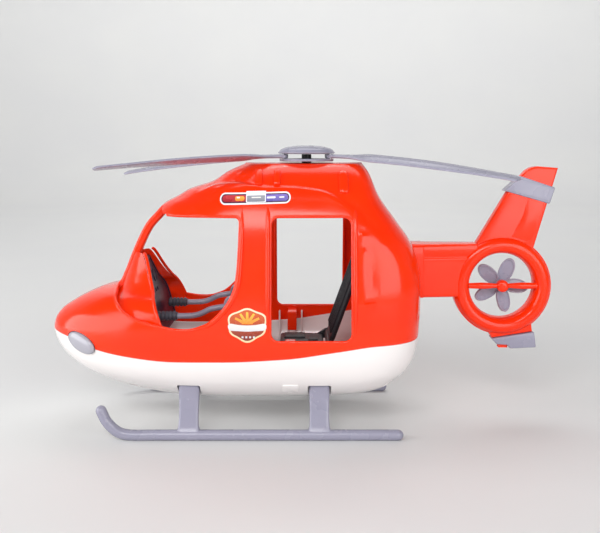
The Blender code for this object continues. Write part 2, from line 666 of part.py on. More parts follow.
def make_blade(place):
    """A drooping blade with a round knuckle on its pivot pin."""
    pivot, angle = blade_root(place)
    along = Vector((cos(angle), sin(angle), 0))
    across = Vector((-sin(angle), cos(angle), 0))
    middle_z = (BLADE_Z[0] + BLADE_Z[1]) / 2
    blade = rod("blade_" + place, pivot + Vector((0, 0, BLADE_Z[0])), pivot + Vector((0, 0, BLADE_Z[1])), 4.3, 14)
    rings = []
    for i in range(8):
        t = i / 7
        reach = 1.5 + (BLADE_LENGTH - 1.5) * t
        wide = BLADE_CHORD * min(0.42 + 0.58 * min(t / 0.22, 1) ** 0.7, 1)
        if t > 0.93:
            wide *= 0.86
        pitch = radians(BLADE_PITCH) * min(t / 0.25, 1) * (1 if place in ("front_left", "rear_left") else -1)
        lean = across * cos(pitch) + Vector((0, 0, sin(pitch)))
        upright = along.cross(lean)
        middle = pivot + along * reach + Vector((0, 0, middle_z - BLADE_DROOP[place] * t**1.6))
        thick = BLADE_THICK / 2
        rings.append([
            middle + lean * wide / 2 + upright * thick * 0.35, middle + upright * thick,
            middle - lean * wide / 2 + upright * thick * 0.35, middle - lean * wide / 2 - upright * thick * 0.35,
            middle - upright * thick, middle + lean * wide / 2 - upright * thick * 0.35,
        ])
    combine(blade, loft("vane", rings), "UNION")
    low, high = pivot + Vector((0, 0, 236)), pivot + Vector((0, 0, 250))
    combine(blade, rod("pin_hole", low, high, 1.5 + GAP, 12))
    finish(blade, GREY, 0.3, origin=pivot + Vector((0, 0, middle_z)))


def make_rotor():
    """Mast, hub plate, dome cap, four blades and the pins they fold on."""
    base = Vector((ROTOR_X, 0, 0))
    mast_profile = [(222.0, 2.6), (232.2, 2.6), (232.2, MAST_RADIUS), (244.2, MAST_RADIUS)]
    finish(turned("rotor_mast", base, (0, 0, 1), mast_profile, 24), GREY, 0.3, origin=base)
    nut = turned("mast_nut", base, (0, 0, 1), [(226.4, 7.4), (227, 8.2), (231.4, 8.2), (232, 7.4)], 24)
    combine(nut, rod("bore", base + Vector((0, 0, 220)), base + Vector((0, 0, 240)), 2.6 + GAP, 24))
    finish(nut, WHITE, 0.4, origin=base)
    low, high = ROTOR_PLATE_Z
    plate = turned(
        "rotor_plate", base, (0, 0, 1),
        [(low, ROTOR_PLATE_RADIUS - 0.6), (low + 0.6, ROTOR_PLATE_RADIUS), (high, ROTOR_PLATE_RADIUS)], 28,
    )
    combine(plate, rod("bore", base + Vector((0, 0, 230)), base + Vector((0, 0, 250)), MAST_RADIUS + GAP, 24))
    low, high = CAP_Z
    dome = [(low, CAP_RADIUS - 0.8), (low + 0.7, CAP_RADIUS)]
    for i in range(1, 4):
        a = (pi / 2) * i / 4
        dome.append((low + 0.7 + (high - low - 0.7) * sin(a), CAP_RADIUS * cos(a) ** 0.8))
    dome.append((high, 2.0))
    cap = turned("rotor_cap", base, (0, 0, 1), dome, 28)
    for place in BLADE_DROOP:
        pivot, _angle = blade_root(place)
        make_blade(place)
        pin_low, pin_high = ROTOR_PLATE_Z[0] + 0.6, CAP_Z[0] + 2.0
        pin = rod("blade_pin_" + place, pivot + Vector((0, 0, pin_low)), pivot + Vector((0, 0, pin_high)), 1.5, 12)
        room = 1.5 + GAP
        for holder in (plate, cap):
            ends = (pivot + Vector((0, 0, pin_low - GAP)), pivot + Vector((0, 0, pin_high + GAP)))
            combine(holder, rod("pin_hole", ends[0], ends[1], room, 12))
        finish(pin, STEEL, 0.3, 1.0, origin=pivot)
    finish(plate, GREY, 0.3, origin=base)
    finish(cap, GREY, 0.28, origin=base)


# ---------------------------------------------------------------- skids
def make_skids():
    """A rail with a narrow flat to stand on, and two broad legs whose tops sit in the belly's pockets."""
    z = SKID_RADIUS * cos(pi / 12)
    route = [(SKID_X[0] - 17, z + 21), (SKID_X[0] - 12, z + 11), (SKID_X[0] - 3, z + 2.6), (SKID_X[0] + 8, z)]
    route += [(x, z) for x in (-110, -60, -10, 40, SKID_X[1])]
    skid = tube_along("skid_left", [(x, -SKID_Y, height) for x, height in route], SKID_RADIUS, 12, 0.5)
    for x in LEG_X:
        outline = [(-62.5, 46.6), (-52.2, 46.6), (-52.2, 40.5), (-63.0, 6.0), (-69.5, 6.0), (-62.5, 33)]
        half = LEG_WIDTH / 2
        leg = loft("leg", [[(x + shift, y, height) for y, height in outline] for shift in (-half, half)])
        combine(skid, bevelled(leg, 0.8, 40, 1), "UNION")
        drill(skid, (x, -56.0, 38.0), (0, 0, 1), 14.0, back=30)
    right = mirrored(skid, "skid_right")
    finish(skid, GREY, 0.32)
    finish(right, GREY, 0.32)
    for place, x in zip(("front", "rear"), LEG_X):
        for hand, side in (("left", -1), ("right", 1)):
            screw(f"skid_screw_{place}_{hand}", (x, side * 56.0, 38.0), (0, 0, 1), 13.0)


# ---------------------------------------------------------------- seat
def make_seat():
    """A black seat on a pedestal, and its ribbed back, which leans on a cross pin."""
    base = box("seat_base", (-23.7, 17.2), (-SEAT_HALF_WIDTH, SEAT_HALF_WIDTH), (65.0, 70.0))
    bevelled(base, 1.2, 50, 1)
    floor = BELLY_Z + WALL + GAP
    combine(base, box("pedestal", (-14, 14), (-15, 15), (floor, 67)), "UNION")
    for y in (-SEAT_HALF_WIDTH, SEAT_HALF_WIDTH - 4):
        ear = prism("ear", [(10.7, 65.5), (27.7, 65.5), (27.7, 73), (22.7, 76.5), (10.7, 69.5)], y, y + 4)
        combine(base, ear, "UNION")
    combine(base, bevelled(box("buckle", (3, 12), (-5, 5), (69, 72)), 0.8, 50, 1), "UNION")
    start = SEAT_HINGE - Vector((0, 40, 0))
    end = SEAT_HINGE + Vector((0, 40, 0))
    combine(base, rod("pin_hole", start, end, 1.6 + GAP, 12))
    drill(base, (0, 0, 25.0), (0, 0, 1), 22.0)
    finish(base, BLACK, 0.35)
    half = SEAT_HALF_WIDTH - 4.6
    back = rod("seat_back", SEAT_HINGE - Vector((0, half, 0)), SEAT_HINGE + Vector((0, half, 0)), 4.0, 16)
    lean = radians(SEAT_LEAN)
    up = Vector((sin(lean), 0, cos(lean)))
    rear = Vector((cos(lean), 0, -sin(lean)))
    wide = SEAT_HALF_WIDTH - 1.0
    panels = [((-3.0, 1.6), (5.5, SEAT_BACK_LENGTH), (-wide, wide), 1.5), ((-2.6, 1.2), (1.0, 9.0), (-half, half), 0)]
    for y in (-wide + 1.6, -half / 2 - 1.2, half / 2 - 1.2, wide - 4.0):
        panels.append(((-5.4, -2.0), (11.0, SEAT_BACK_LENGTH - 5), (y, y + 2.4), 0))
    for depth, length, y, edge in panels:
        corners = [SEAT_HINGE + rear * d + up * u for d, u in
                   ((depth[0], length[0]), (depth[1], length[0]), (depth[1], length[1]), (depth[0], length[1]))]
        panel = prism("panel", [(c.x, c.z) for c in corners], y[0], y[1])
        if edge:
            bevelled(panel, edge, 50, 1)
        combine(back, panel, "UNION")
    combine(back, rod("pin_hole", start, end, 1.6 + GAP, 12))
    finish(back, BLACK, 0.35, origin=SEAT_HINGE)
    reach = Vector((0, SEAT_HALF_WIDTH + 0.6, 0))
    finish(rod("seat_hinge_pin", SEAT_HINGE - reach, SEAT_HINGE + reach, 1.6, 12), STEEL, 0.3, 1.0)
    screw("seat_screw", (0, 0, 25.0), (0, 0, 1), 20.0)


# ---------------------------------------------------------------- steering levers
def make_levers():
    """Two steering levers with ribbed grips, each on its pin in a shared bracket."""
    floor = BELLY_Z + WALL + GAP
    x, z = LEVER_PIVOT.x, LEVER_PIVOT.z
    bracket = box("lever_bracket", (x - 9, x + 9), (-27.5, 27.5), (floor, floor + 4))
    for y in (-27.5, 22.5):
        outline = [(x - 8, floor), (x + 8, floor), (x + 5, z), (x + 3.5, z + 4.6), (x - 3.5, z + 4.6), (x - 5, z)]
        combine(bracket, prism("upright", outline, y, y + 5), "UNION")
    for hand, side in (("left", -1), ("right", 1)):
        y = side * LEVER_Y
        pivot = Vector((x, y, z))
        lever = rod("lever_" + hand, pivot - Vector((0, 2.6, 0)), pivot + Vector((0, 2.6, 0)), 6.8, 20)
        route = [(px, y, pz) for px, pz in LEVER_ROUTE]
        combine(lever, tube_along("arm", route, LEVER_RADIUS, 10), "UNION")
        ends = (pivot - Vector((0, 12, 0)), pivot + Vector((0, 12, 0)))
        combine(lever, rod("pin_hole", ends[0], ends[1], 2.0 + GAP, 14))
        finish(lever, GREY, 0.3, origin=pivot)
        start = Vector((GRIP_X[0], y, LEVER_ROUTE[-1][1]))
        profile = [(0, 3.2)]
        for i in range(5):
            at = 0.8 + i * 3.5
            profile += [(at, 4.4), (at + 2.0, 4.4), (at + 2.3, 3.3), (at + 3.2, 3.3)]
        length = GRIP_X[1] - GRIP_X[0]
        grip = turned("grip_" + hand, start, (1, 0, 0), profile + [(length, 3.3)], 10)
        socket = rod("socket", start + Vector((15.7, 0, 0)), start + Vector((30, 0, 0)), LEVER_RADIUS + GAP, 14)
        combine(grip, socket)
        finish(grip, DARK_GREY, 0.45, origin=pivot)
        inner, outer = y - side * 8.0, y + side * 3.4
        pin = turned(
            "lever_pin_" + hand, (x, outer + side * 1.2, z), (0, -side, 0),
            [(0, 3.0), (0.9, 3.4), (0.9, 2.0), (abs(outer - inner) + 1.2, 2.0)], 14,
        )
        finish(pin, WHITE, 0.35, origin=pivot)
        hole_ends = ((x, inner - side * GAP, z), (x, outer, z))
        combine(bracket, rod("pin_hole", hole_ends[0], hole_ends[1], 2.0 + GAP, 14))
    finish(bracket, BLACK, 0.4)


def build():
    for existing in list(bpy.data.objects):
        bpy.data.objects.remove(existing)
    make_cabin()
    make_belly()
    make_belly_screws()
    make_headlamps()
    make_nose_hood()
    make_dashboard()
    make_tail()
    make_tail_screws()
    make_fin_trim()
    make_tail_fan()
    make_rotor()
    make_skids()
    make_seat()
    make_levers()


build()
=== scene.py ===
"""Toy rescue helicopter: smooth moulded shells, details, stickers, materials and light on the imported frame.

Lengths are in millimetres until a piece is finished, when finish_piece() turns them into metres.
+X runs to the tail, -Y is the helicopter's left side, and the skids stand on z = 0.
"""

import json
from contextlib import contextmanager
from math import atan2, cos, hypot, pi, radians, sin, sqrt

import bmesh
import bpy
import numpy as np
from mathutils import Matrix, Vector


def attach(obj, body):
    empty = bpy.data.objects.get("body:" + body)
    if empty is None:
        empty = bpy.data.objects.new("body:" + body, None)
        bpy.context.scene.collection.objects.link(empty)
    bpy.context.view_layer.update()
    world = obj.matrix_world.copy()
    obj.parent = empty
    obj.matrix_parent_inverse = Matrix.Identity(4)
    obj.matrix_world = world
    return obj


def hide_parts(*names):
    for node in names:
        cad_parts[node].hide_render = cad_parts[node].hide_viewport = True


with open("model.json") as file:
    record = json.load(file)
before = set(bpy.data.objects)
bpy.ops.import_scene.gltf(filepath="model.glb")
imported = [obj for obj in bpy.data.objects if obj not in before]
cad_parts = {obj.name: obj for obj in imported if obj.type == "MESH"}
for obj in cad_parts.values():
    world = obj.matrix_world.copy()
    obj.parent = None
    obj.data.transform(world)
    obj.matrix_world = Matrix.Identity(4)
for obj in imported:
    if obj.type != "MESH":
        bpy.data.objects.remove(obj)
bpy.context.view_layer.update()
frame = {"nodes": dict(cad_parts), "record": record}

# ---------------------------------------------------------------- the cabin's shape, as in the frame
MM = 0.001
GAP = 0.3
WALL = 2.5
CABIN_WIDE_Z = 90.0
CABIN_HALF_WIDTH = 77.5
# The plan is a superellipse at both ends, each a share of its length; the cross-section is one above and below.
NOSE_SHARE, NOSE_POWER = 0.42, 2.1
TAIL_SHARE, TAIL_POWER = 0.25, 4
UPPER_REACH, UPPER_POWER = 150, 2.4
LOWER_REACH, LOWER_POWER = 65, 2.6
BELLY_Z = 27.0
BELT_Z = 84.0
ROOF_Z = 236.0
NOSE_LINE = [
    (27, -130), (31, -150), (36, -169), (44, -191), (56, -213), (68, -225), (80, -231), (87, -232.5),
    (94, -231), (102, -225.5), (109, -215.5), (116, -202.5), (121.5, -188), (124.5, -175), (136, -168),
    (150, -162.5), (165, -156), (181, -147.5), (190, -139.5), (200, -129.5), (207, -116.4), (213, -106),
    (220, -85), (229, -71), (236, -55),
]
REAR_LINE = [
    (27, 30), (34, 57), (38, 72), (47, 84), (55, 92), (68, 98.5), (84, 101.5), (112, 103), (130, 103),
    (151, 100), (166, 94.5), (186, 81), (208, 66), (229, 57), (236, 52),
]
SEAM_LINE = [
    (-240, 87.5), (-209, 84.7), (-181, 77), (-158, 73.5), (-110, 70), (-72, 70), (-18, 72.5), (28, 79),
    (60, 83.5), (110, 85),
]
# The cockpit's open side: a rounded upper rear corner, then down the pillar, along the sill and up the nose.
PILLAR_EDGE = [
    (-55, 184), (-55.6, 165), (-56.9, 144.7), (-59.6, 130.7), (-67.2, 116.5), (-79.5, 104.2), (-88, 99.8),
    (-98.4, 97.2), (-110.9, 97.6), (-121.6, 99.6), (-135.4, 102.3), (-145.7, 105.4), (-156.7, 110.8),
    (-163.7, 116.9), (-168, 122.1), (-174, 125.4),
]
COCKPIT_TOP = 192.0
DOOR_X = (-30.0, 40.0)
DOOR_Z = (87.0, 192.0)
DOOR_RADIUS = 7.5
# The shoulder's crease, over the door and down behind it, and the crease of the bulge behind that.
SHOULDER = [
    (-95, 213), (-78, 219), (-60, 220.5), (-44, 219), (-30, 217.5), (-18.8, 217.7), (12.6, 214.8),
    (34.3, 204.3), (47.9, 190.4), (52.3, 164.9), (53.5, 124),
]
BULGE = [(38, 198), (54, 186), (72, 168.6), (88, 152), (98, 138)]

HANDS = {"left": -1, "right": 1}
SCREW_PLACES = ((-150.0, 44.0), (-13.0, 60.0), (72.0, 52.0))
LUG_HALF = 4.6
LEG_X = (-100.5, 12.0)
POCKET_HALF = 10
ROTOR_X, ROTOR_Z = 1.2, 242.4
RING_X, RING_Z = 182.5, 122.5
BOOM_X = (88, 160)
BOOM_TAPER = 0.45
SEAT_HINGE_X, SEAT_HINGE_Z = 22.7, 71.0
LEVER_X, LEVER_Y, LEVER_Z = -66.0, 31.0, 111.0
# Each blade: which way along and across, the angle it lies at, and how far its tip droops.
BLADES = {
    "front_left": (-1, -1, 22.0, 9.5), "front_right": (-1, 1, 18.5, 17.5),
    "rear_left": (1, -1, 24.0, 18.0), "rear_right": (1, 1, 24.0, 18.0),
}


def smooth_line(points, at):
    """The value of a smooth curve through points, which never overshoots between them."""
    steps = [(b[0] - a[0], (b[1] - a[1]) / (b[0] - a[0])) for a, b in zip(points, points[1:])]
    slopes = [steps[0][1]]
    for (before, fall), (after, rise) in zip(steps, steps[1:]):
        if fall * rise <= 0:
            slopes.append(0.0)
            continue
        near, far = 2 * after + before, after + 2 * before
        slopes.append((near + far) / (near / fall + far / rise))
    slopes.append(steps[-1][1])
    index = max(i for i in range(len(steps)) if at >= points[i][0] or i == 0)
    width = steps[index][0]
    t = (at - points[index][0]) / width
    return (
        (2 * t**3 - 3 * t**2 + 1) * points[index][1]
        + (t**3 - 2 * t**2 + t) * width * slopes[index]
        + (3 * t**2 - 2 * t**3) * points[index + 1][1]
        + (t**3 - t**2) * width * slopes[index + 1]
    )


def tabled(points, count=900):
    """A smooth curve as two arrays that can be looked up."""
    at = np.linspace(points[0][0], points[-1][0], count)
    return at, np.array([smooth_line(points, value) for value in at])


NOSE, REAR, SEAM = (tabled(line) for line in (NOSE_LINE, REAR_LINE, SEAM_LINE))


def half_width(z):
    """Half of the cabin's greatest width at height z."""
    upper = np.clip((z - CABIN_WIDE_Z) / UPPER_REACH, 0, 1) ** UPPER_POWER
    lower = np.clip((CABIN_WIDE_Z - z) / LOWER_REACH, 0, 1) ** LOWER_POWER
    above, under = (1 - upper) ** (1 / UPPER_POWER), (1 - lower) ** (1 / LOWER_POWER)
    return CABIN_HALF_WIDTH * np.where(z >= CABIN_WIDE_Z, above, under)


def section(z):
    """The plan at height z: where it starts, the lengths of its nose, its straight run and its tail, half width."""
    front, rear = np.interp(z, *NOSE), np.interp(z, *REAR)
    nose, tail = NOSE_SHARE * (rear - front), TAIL_SHARE * (rear - front)
    return front, nose, rear - front - nose - tail, tail, half_width(z)


def hull_y(x, z):
    """How far the plain cabin surface is from the middle plane."""
    front, nose, run, tail, half = section(z)
    ahead = np.clip((front + nose - x) / nose, 0, 1) ** NOSE_POWER
    behind = np.clip((x - front - nose - run) / tail, 0, 1) ** TAIL_POWER
    return half * (1 - ahead) ** (1 / NOSE_POWER) * (1 - behind) ** (1 / TAIL_POWER)


def distance_to(line, x, z):
    """The distance from points to a broken line."""
    best = np.full(np.shape(x), 1e9)
    for (x0, z0), (x1, z1) in zip(line, line[1:]):
        along = ((x - x0) * (x1 - x0) + (z - z0) * (z1 - z0)) / ((x1 - x0) ** 2 + (z1 - z0) ** 2)
        along = np.clip(along, 0, 1)
        best = np.minimum(best, np.hypot(x - x0 - along * (x1 - x0), z - z0 - along * (z1 - z0)))
    return best


def soft_step(value):
    """0 up to 0, 1 from 1 on, and an S-curve between them."""
    t = np.clip(value, 0, 1)
    return t * t * (3 - 2 * t)


def turns(count):
    """The angles of even steps round a circle."""
    return [2 * pi * k / count for k in range(count)]


def squared(angle, power):
    """A point of a unit circle that is drawn out towards a square, the more so the smaller the power."""
    return [abs(value) ** power * (1 if value > 0 else -1) for value in (cos(angle), sin(angle))]


def below(line, x, z):
    """Whether points lie under a line and in front of its end."""
    xs, zs = np.array(line).T
    return (z < np.interp(x, xs, zs)) & (x < xs[-1])


SHOULDER_CURVE = [(x, smooth_line(SHOULDER, x)) for x in np.linspace(-95, 53.5, 60)]
BULGE_CURVE = [(x, smooth_line(BULGE, x)) for x in np.linspace(38, 98, 24)]


def relief(x, z):
    """How far the moulded cabin stands out from its plain surface."""
    depth = np.where(below(SHOULDER_CURVE, x, z), distance_to(SHOULDER_CURVE, x, z), 0)
    shoulder = 2.2 * soft_step(depth / 3.0) * (1 - 0.7 * soft_step(depth / 60)) * soft_step((x + 112) / 40)
    depth = np.where(below(BULGE_CURVE, x, z) & (x > 44), distance_to(BULGE_CURVE, x, z), 0)
    bulge = 1.3 * soft_step(depth / 3.0) * soft_step((x - 44) / 5) * (1 - soft_step((110 - z) / 22))
    return shoulder * soft_step((z - 92) / 30) + bulge


def skin(x, z, side, lift=0.0):
    """A point of the moulded cabin's side, lifted off it, and the surface's direction there."""
    y = float(hull_y(x, z))
    slope_x = float(hull_y(x + 0.5, z) - hull_y(x - 0.5, z))
    slope_z = float(hull_y(x, z + 0.5) - hull_y(x, z - 0.5))
    out = Vector((-slope_x, 1, -slope_z)).normalized()
    point = Vector((x, y, z)) + out * (float(relief(np.array(x), np.array(z))) + lift)
    return Vector((point.x, side * point.y, point.z)), Vector((out.x, side * out.y, out.z))


# ---------------------------------------------------------------- materials
def node(tree, kind, **values):
    """A new node with its sockets or its settings filled in."""
    made = tree.nodes.new(kind)
    for key, value in values.items():
        if key in made.inputs:
            made.inputs[key].default_value = value
        else:
            setattr(made, key, value)
    return made


def noise(tree, scale, detail=3.0, stretch=(1, 1, 1)):
    """Noise in object space, with its scale per metre."""
    place = node(tree, "ShaderNodeTexCoord")
    mapping = node(tree, "ShaderNodeMapping", Scale=stretch)
    made = node(tree, "ShaderNodeTexNoise", Scale=scale, Detail=detail)
    tree.links.new(place.outputs["Object"], mapping.inputs["Vector"])
    tree.links.new(mapping.outputs[0], made.inputs["Vector"])
    return made.outputs["Fac"]


def spread(tree, source, low, high, start=0.3, end=0.7):
    """The source's values from start to end, spread from low to high."""
    made = node(tree, "ShaderNodeMapRange")
    made.inputs["From Min"].default_value = start
    made.inputs["From Max"].default_value = end
    made.inputs["To Min"].default_value = low
    made.inputs["To Max"].default_value = high
    tree.links.new(source, made.inputs["Value"])
    return made.outputs[0]


def mixed(tree, factor, first, second):
    """A mix of two colours, each a tuple or another node's output."""
    made = node(tree, "ShaderNodeMix", data_type="RGBA")
    tree.links.new(factor, made.inputs["Factor"])
    for socket, colour in ((made.inputs[6], first), (made.inputs[7], second)):
        if isinstance(colour, tuple):
            socket.default_value = (*colour, 1)
        else:
            tree.links.new(colour, socket)
    return made.outputs[2]


def plain_material(name):
    """A new material, its node tree and its shader."""
    made = bpy.data.materials.new(name)
    made.use_nodes = True
    return made, made.node_tree, made.node_tree.nodes["Principled BSDF"]


def moulded(name, colour, shade, roughness=(0.13, 0.22), coat=0.3, peel=0.02, grain=0.0, metallic=0.0, ior=1.5):
    """Injection-moulded plastic: flow-marked colour, uneven gloss, orange peel, and paler rubbed edges."""
    made, tree, shader = plain_material(name)
    flow = spread(tree, noise(tree, 14, 4, (1, 1, 2.2)), 0, 1)
    base = mixed(tree, flow, colour, shade)
    worn = node(tree, "ShaderNodeNewGeometry")
    rubbed = spread(tree, worn.outputs["Pointiness"], 0, 0.22, 0.53, 0.60)
    pale = tuple(min(channel * 1.05 + 0.06, 1) for channel in colour)
    base = mixed(tree, rubbed, base, pale)
    tree.links.new(base, shader.inputs["Base Color"])
    gloss = spread(tree, noise(tree, 55, 6), *roughness)
    tree.links.new(gloss, shader.inputs["Roughness"])
    shader.inputs["Metallic"].default_value = metallic
    shader.inputs["IOR"].default_value = ior
    shader.inputs["Coat Weight"].default_value = coat
    shader.inputs["Coat Roughness"].default_value = 0.06
    bump = node(tree, "ShaderNodeBump", Strength=peel, Distance=0.001)
    tree.links.new(noise(tree, 420, 2), bump.inputs["Height"])
    last = bump
    if grain:
        last = node(tree, "ShaderNodeBump", Strength=grain, Distance=0.0004)
        tree.links.new(noise(tree, 2600, 2), last.inputs["Height"])
        tree.links.new(bump.outputs[0], last.inputs["Normal"])
    tree.links.new(last.outputs[0], shader.inputs["Normal"])
    return made


def brushed(name, colour, roughness=(0.25, 0.4)):
    """Zinc-plated steel with fine turning marks."""
    return moulded(name, colour, tuple(c * 0.82 for c in colour), roughness, 0.0, 0.02, 0.15, 1.0)


def printed(name, colour, shade, low, high, axis=2):
    """Glossy printed film whose colour runs from shade to colour along an axis, between two places in mm."""
    made, tree, shader = plain_material(name)
    place = node(tree, "ShaderNodeTexCoord")
    parts = node(tree, "ShaderNodeSeparateXYZ")
    tree.links.new(place.outputs["Object"], parts.inputs[0])
    ramp = spread(tree, parts.outputs[axis], 0, 1, low * MM, high * MM)
    ink = mixed(tree, ramp, shade, colour)
    speck = spread(tree, noise(tree, 1500, 2), 0, 0.12, 0.45, 0.7)
    ink = mixed(tree, speck, ink, tuple(min(c * 0.8 + 0.1, 1) for c in colour))
    tree.links.new(ink, shader.inputs["Base Color"])
    gloss = spread(tree, noise(tree, 90, 4), 0.2, 0.32)
    tree.links.new(gloss, shader.inputs["Roughness"])
    shader.inputs["Coat Weight"].default_value = 0.4
    shader.inputs["Coat Roughness"].default_value = 0.08
    return made


RED = moulded("red_plastic", (0.94, 0.033, 0.001), (0.89, 0.026, 0.0008), (0.13, 0.2), 0.06, 0.02, 0.0, 0.0, 1.38)
WHITE = moulded("white_plastic", (0.84, 0.80, 0.79), (0.81, 0.775, 0.765), (0.16, 0.26))
GREY = moulded("grey_plastic", (0.285, 0.275, 0.355), (0.262, 0.256, 0.332), (0.24, 0.3), 0.12)
LAMP = moulded("lamp_plastic", (0.36, 0.35, 0.40), (0.32, 0.315, 0.365), (0.10, 0.18), 0.5)
BLACK = moulded("black_plastic", (0.010, 0.010, 0.013), (0.016, 0.016, 0.02), (0.34, 0.48), 0.0, 0.03, 0.1, 0.0, 1.38)
PANEL = moulded("panel_plastic", (0.016, 0.018, 0.045), (0.03, 0.018, 0.04), (0.3, 0.44), 0.0, 0.03, 0.08, 0.0, 1.4)
GRIP = moulded("grip_plastic", (0.055, 0.06, 0.08), (0.07, 0.075, 0.1), (0.4, 0.55), 0.0, 0.03, 0.25)
NATURAL = moulded("natural_plastic", (0.7, 0.69, 0.66), (0.66, 0.65, 0.62), (0.35, 0.5), 0.0)
STEEL = brushed("zinc_steel", (0.6, 0.6, 0.62))


# ---------------------------------------------------------------- building pieces
def finish_piece(piece, material, body, replaced=(), smooth=38.0):
    """Shade and colour a piece made in millimetres, and hang it on its body in metres."""
    piece.data.transform(Matrix.Scale(MM, 4))
    piece.data.materials.clear()
    piece.data.materials.append(material)
    piece.data.shade_smooth()
    piece.data.set_sharp_from_angle(angle=radians(smooth))
    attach(piece, body)
    if replaced:
        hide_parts(*replaced)
    return piece


def placed(name, data):
    """A new object in the scene."""
    made = bpy.data.objects.new(name, data)
    bpy.context.scene.collection.objects.link(made)
    return made


@contextmanager
def editing(piece):
    """A piece's mesh, open for changes."""
    bm = bmesh.new()
    bm.from_mesh(piece.data)
    yield bm
    bm.to_mesh(piece.data)
    bm.free()


def new_object(name, bm):
    bmesh.ops.recalc_face_normals(bm, faces=bm.faces)
    if bm.calc_volume(signed=True) < 0:
        bmesh.ops.reverse_faces(bm, faces=bm.faces)
    mesh = bpy.data.meshes.new(name)
    bm.to_mesh(mesh)
    bm.free()
    return placed(name, mesh)


def loft(name, rings, closed_ends=True):
    """A solid through rings of the same number of points."""
    bm = bmesh.new()
    layers = [[bm.verts.new(point) for point in ring] for ring in rings]
    pairs = list(zip(layers, layers[1:]))
    if not closed_ends:
        pairs.append((layers[-1], layers[0]))
    for low, high in pairs:
        for i in range(len(low)):
            j = (i + 1) % len(low)
            bm.faces.new((low[i], low[j], high[j], high[i]))
    if closed_ends:
        bm.faces.new(layers[0])
        bm.faces.new(layers[-1])
    return new_object(name, bm)


def prism(name, outline, y0, y1):
    """A flat (x, z) outline drawn out from y0 to y1."""
    return loft(name, [[(x, y, z) for x, z in outline] for y in (y0, y1)])


def box(name, x, y, z):
    return prism(name, [(x[0], z[0]), (x[1], z[0]), (x[1], z[1]), (x[0], z[1])], y[0], y[1])


def softened(piece, width, angle=35.0, segments=4, where=None):
    """Round a piece's sharp edges."""
    with editing(piece) as bm:
        sharp = [
            edge for edge in bm.edges
            if len(edge.link_faces) == 2 and edge.calc_face_angle() > radians(angle)
            and (where is None or all(where(v.co) for v in edge.verts))
        ]
        bmesh.ops.bevel(
            bm, geom=sharp, offset=width, segments=segments, profile=0.5, affect="EDGES", clamp_overlap=True
        )
    return piece


def soft_box(name, x, y, z, width, segments=4):
    """A box with rounded edges."""
    return softened(box(name, x, y, z), width, 50, segments)


def combine(target, tool, operation="DIFFERENCE"):
    """Cut, join or intersect target with tool, and remove the tool."""
    step = target.modifiers.new(operation, "BOOLEAN")
    step.operation = operation
    step.solver = "EXACT"
    step.object = tool
    bpy.context.view_layer.update()
    result = bpy.data.meshes.new_from_object(target.evaluated_get(bpy.context.evaluated_depsgraph_get()))
    target.modifiers.clear()
    target.data = result
    bpy.data.objects.remove(tool)
    return target


def cut_all(pieces, tool):
    """Cut several pieces with the same tool."""
    for piece in pieces:
        combine(piece, placed(tool.name, tool.data))
    bpy.data.objects.remove(tool)


def joined(target, *others):
    """One piece out of several closed shapes that touch."""
    with editing(target) as bm:
        for other in others:
            bm.from_mesh(other.data)
            bpy.data.objects.remove(other)
    return target


def mirrored(source, name):
    """A piece's mirror image, on the other side of the middle plane."""
    made = placed(name, source.data.copy())
    with editing(made) as bm:
        bmesh.ops.transform(bm, matrix=Matrix.Diagonal((1, -1, 1, 1)), verts=bm.verts)
        bmesh.ops.reverse_faces(bm, faces=bm.faces)
    return made


def turned(name, start, direction, profile, sides=48):
    """A turned solid: profile holds (distance along direction, radius) pairs."""
    start, direction = Vector(start), Vector(direction).normalized()
    across = direction.cross(Vector((0, 0, 1)) if abs(direction.z) < 0.9 else Vector((0, 1, 0))).normalized()
    up = direction.cross(across).normalized()
    rings = []
    for along, radius in profile:
        middle = start + direction * along
        rings.append([middle + (across * cos(a) + up * sin(a)) * radius for a in turns(sides)])
    return loft(name, rings)


def ring_solid(name, centre, axis, profile, sides):
    """A turned ring round centre: profile holds (distance along axis, radius) pairs and closes on itself."""
    rings = []
    for along, radius in profile:
        ring = []
        for a in turns(sides):
            right, up = radius * cos(a), radius * sin(a)
            shift = (right, along, up) if axis == "y" else (right, up, along)
            ring.append([place + step for place, step in zip(centre, shift)])
        rings.append(ring)
    return loft(name, rings, closed_ends=False)


def rounded(profile, radius, steps=4):
    """A turned profile with each inner corner rounded."""
    points = [profile[0]]
    for before, corner, after in zip(profile, profile[1:], profile[2:]):
        legs = []
        for other in (before, after):
            length = hypot(other[0] - corner[0], other[1] - corner[1])
            share = min(radius / length, 0.45) if length else 0
            legs.append((corner[0] + (other[0] - corner[0]) * share, corner[1] + (other[1] - corner[1]) * share))
        for i in range(steps + 1):
            t = i / steps
            points.append(tuple(
                (1 - t) ** 2 * legs[0][k] + 2 * t * (1 - t) * corner[k] + t**2 * legs[1][k] for k in (0, 1)
            ))
    return points + [profile[-1]]


def curve_through(points, per_span=8, closed=False):
    """A smooth curve through points of any dimension."""
    points = [Vector(p) if len(p) == 3 else Vector((*p, 0)) for p in points]
    last = len(points) if closed else len(points) - 1
    made = []
    for i in range(last):
        if closed:
            p = [points[(i + k) % len(points)] for k in (-1, 0, 1, 2)]
        else:
            p = [points[min(max(i + k, 0), len(points) - 1)] for k in (-1, 0, 1, 2)]
        for step in range(per_span):
            t = step / per_span
            made.append(0.5 * (
                2 * p[1] + (p[2] - p[0]) * t + (2 * p[0] - 5 * p[1] + 4 * p[2] - p[3]) * t**2
                + (3 * p[1] - p[0] - 3 * p[2] + p[3]) * t**3
            ))
    if not closed:
        made.append(points[-1])
    return made


def flat_curve(points, per_span, closed=False):
    """A smooth curve through (x, z) points."""
    return [(p.x, p.y) for p in curve_through(points, per_span, closed)]


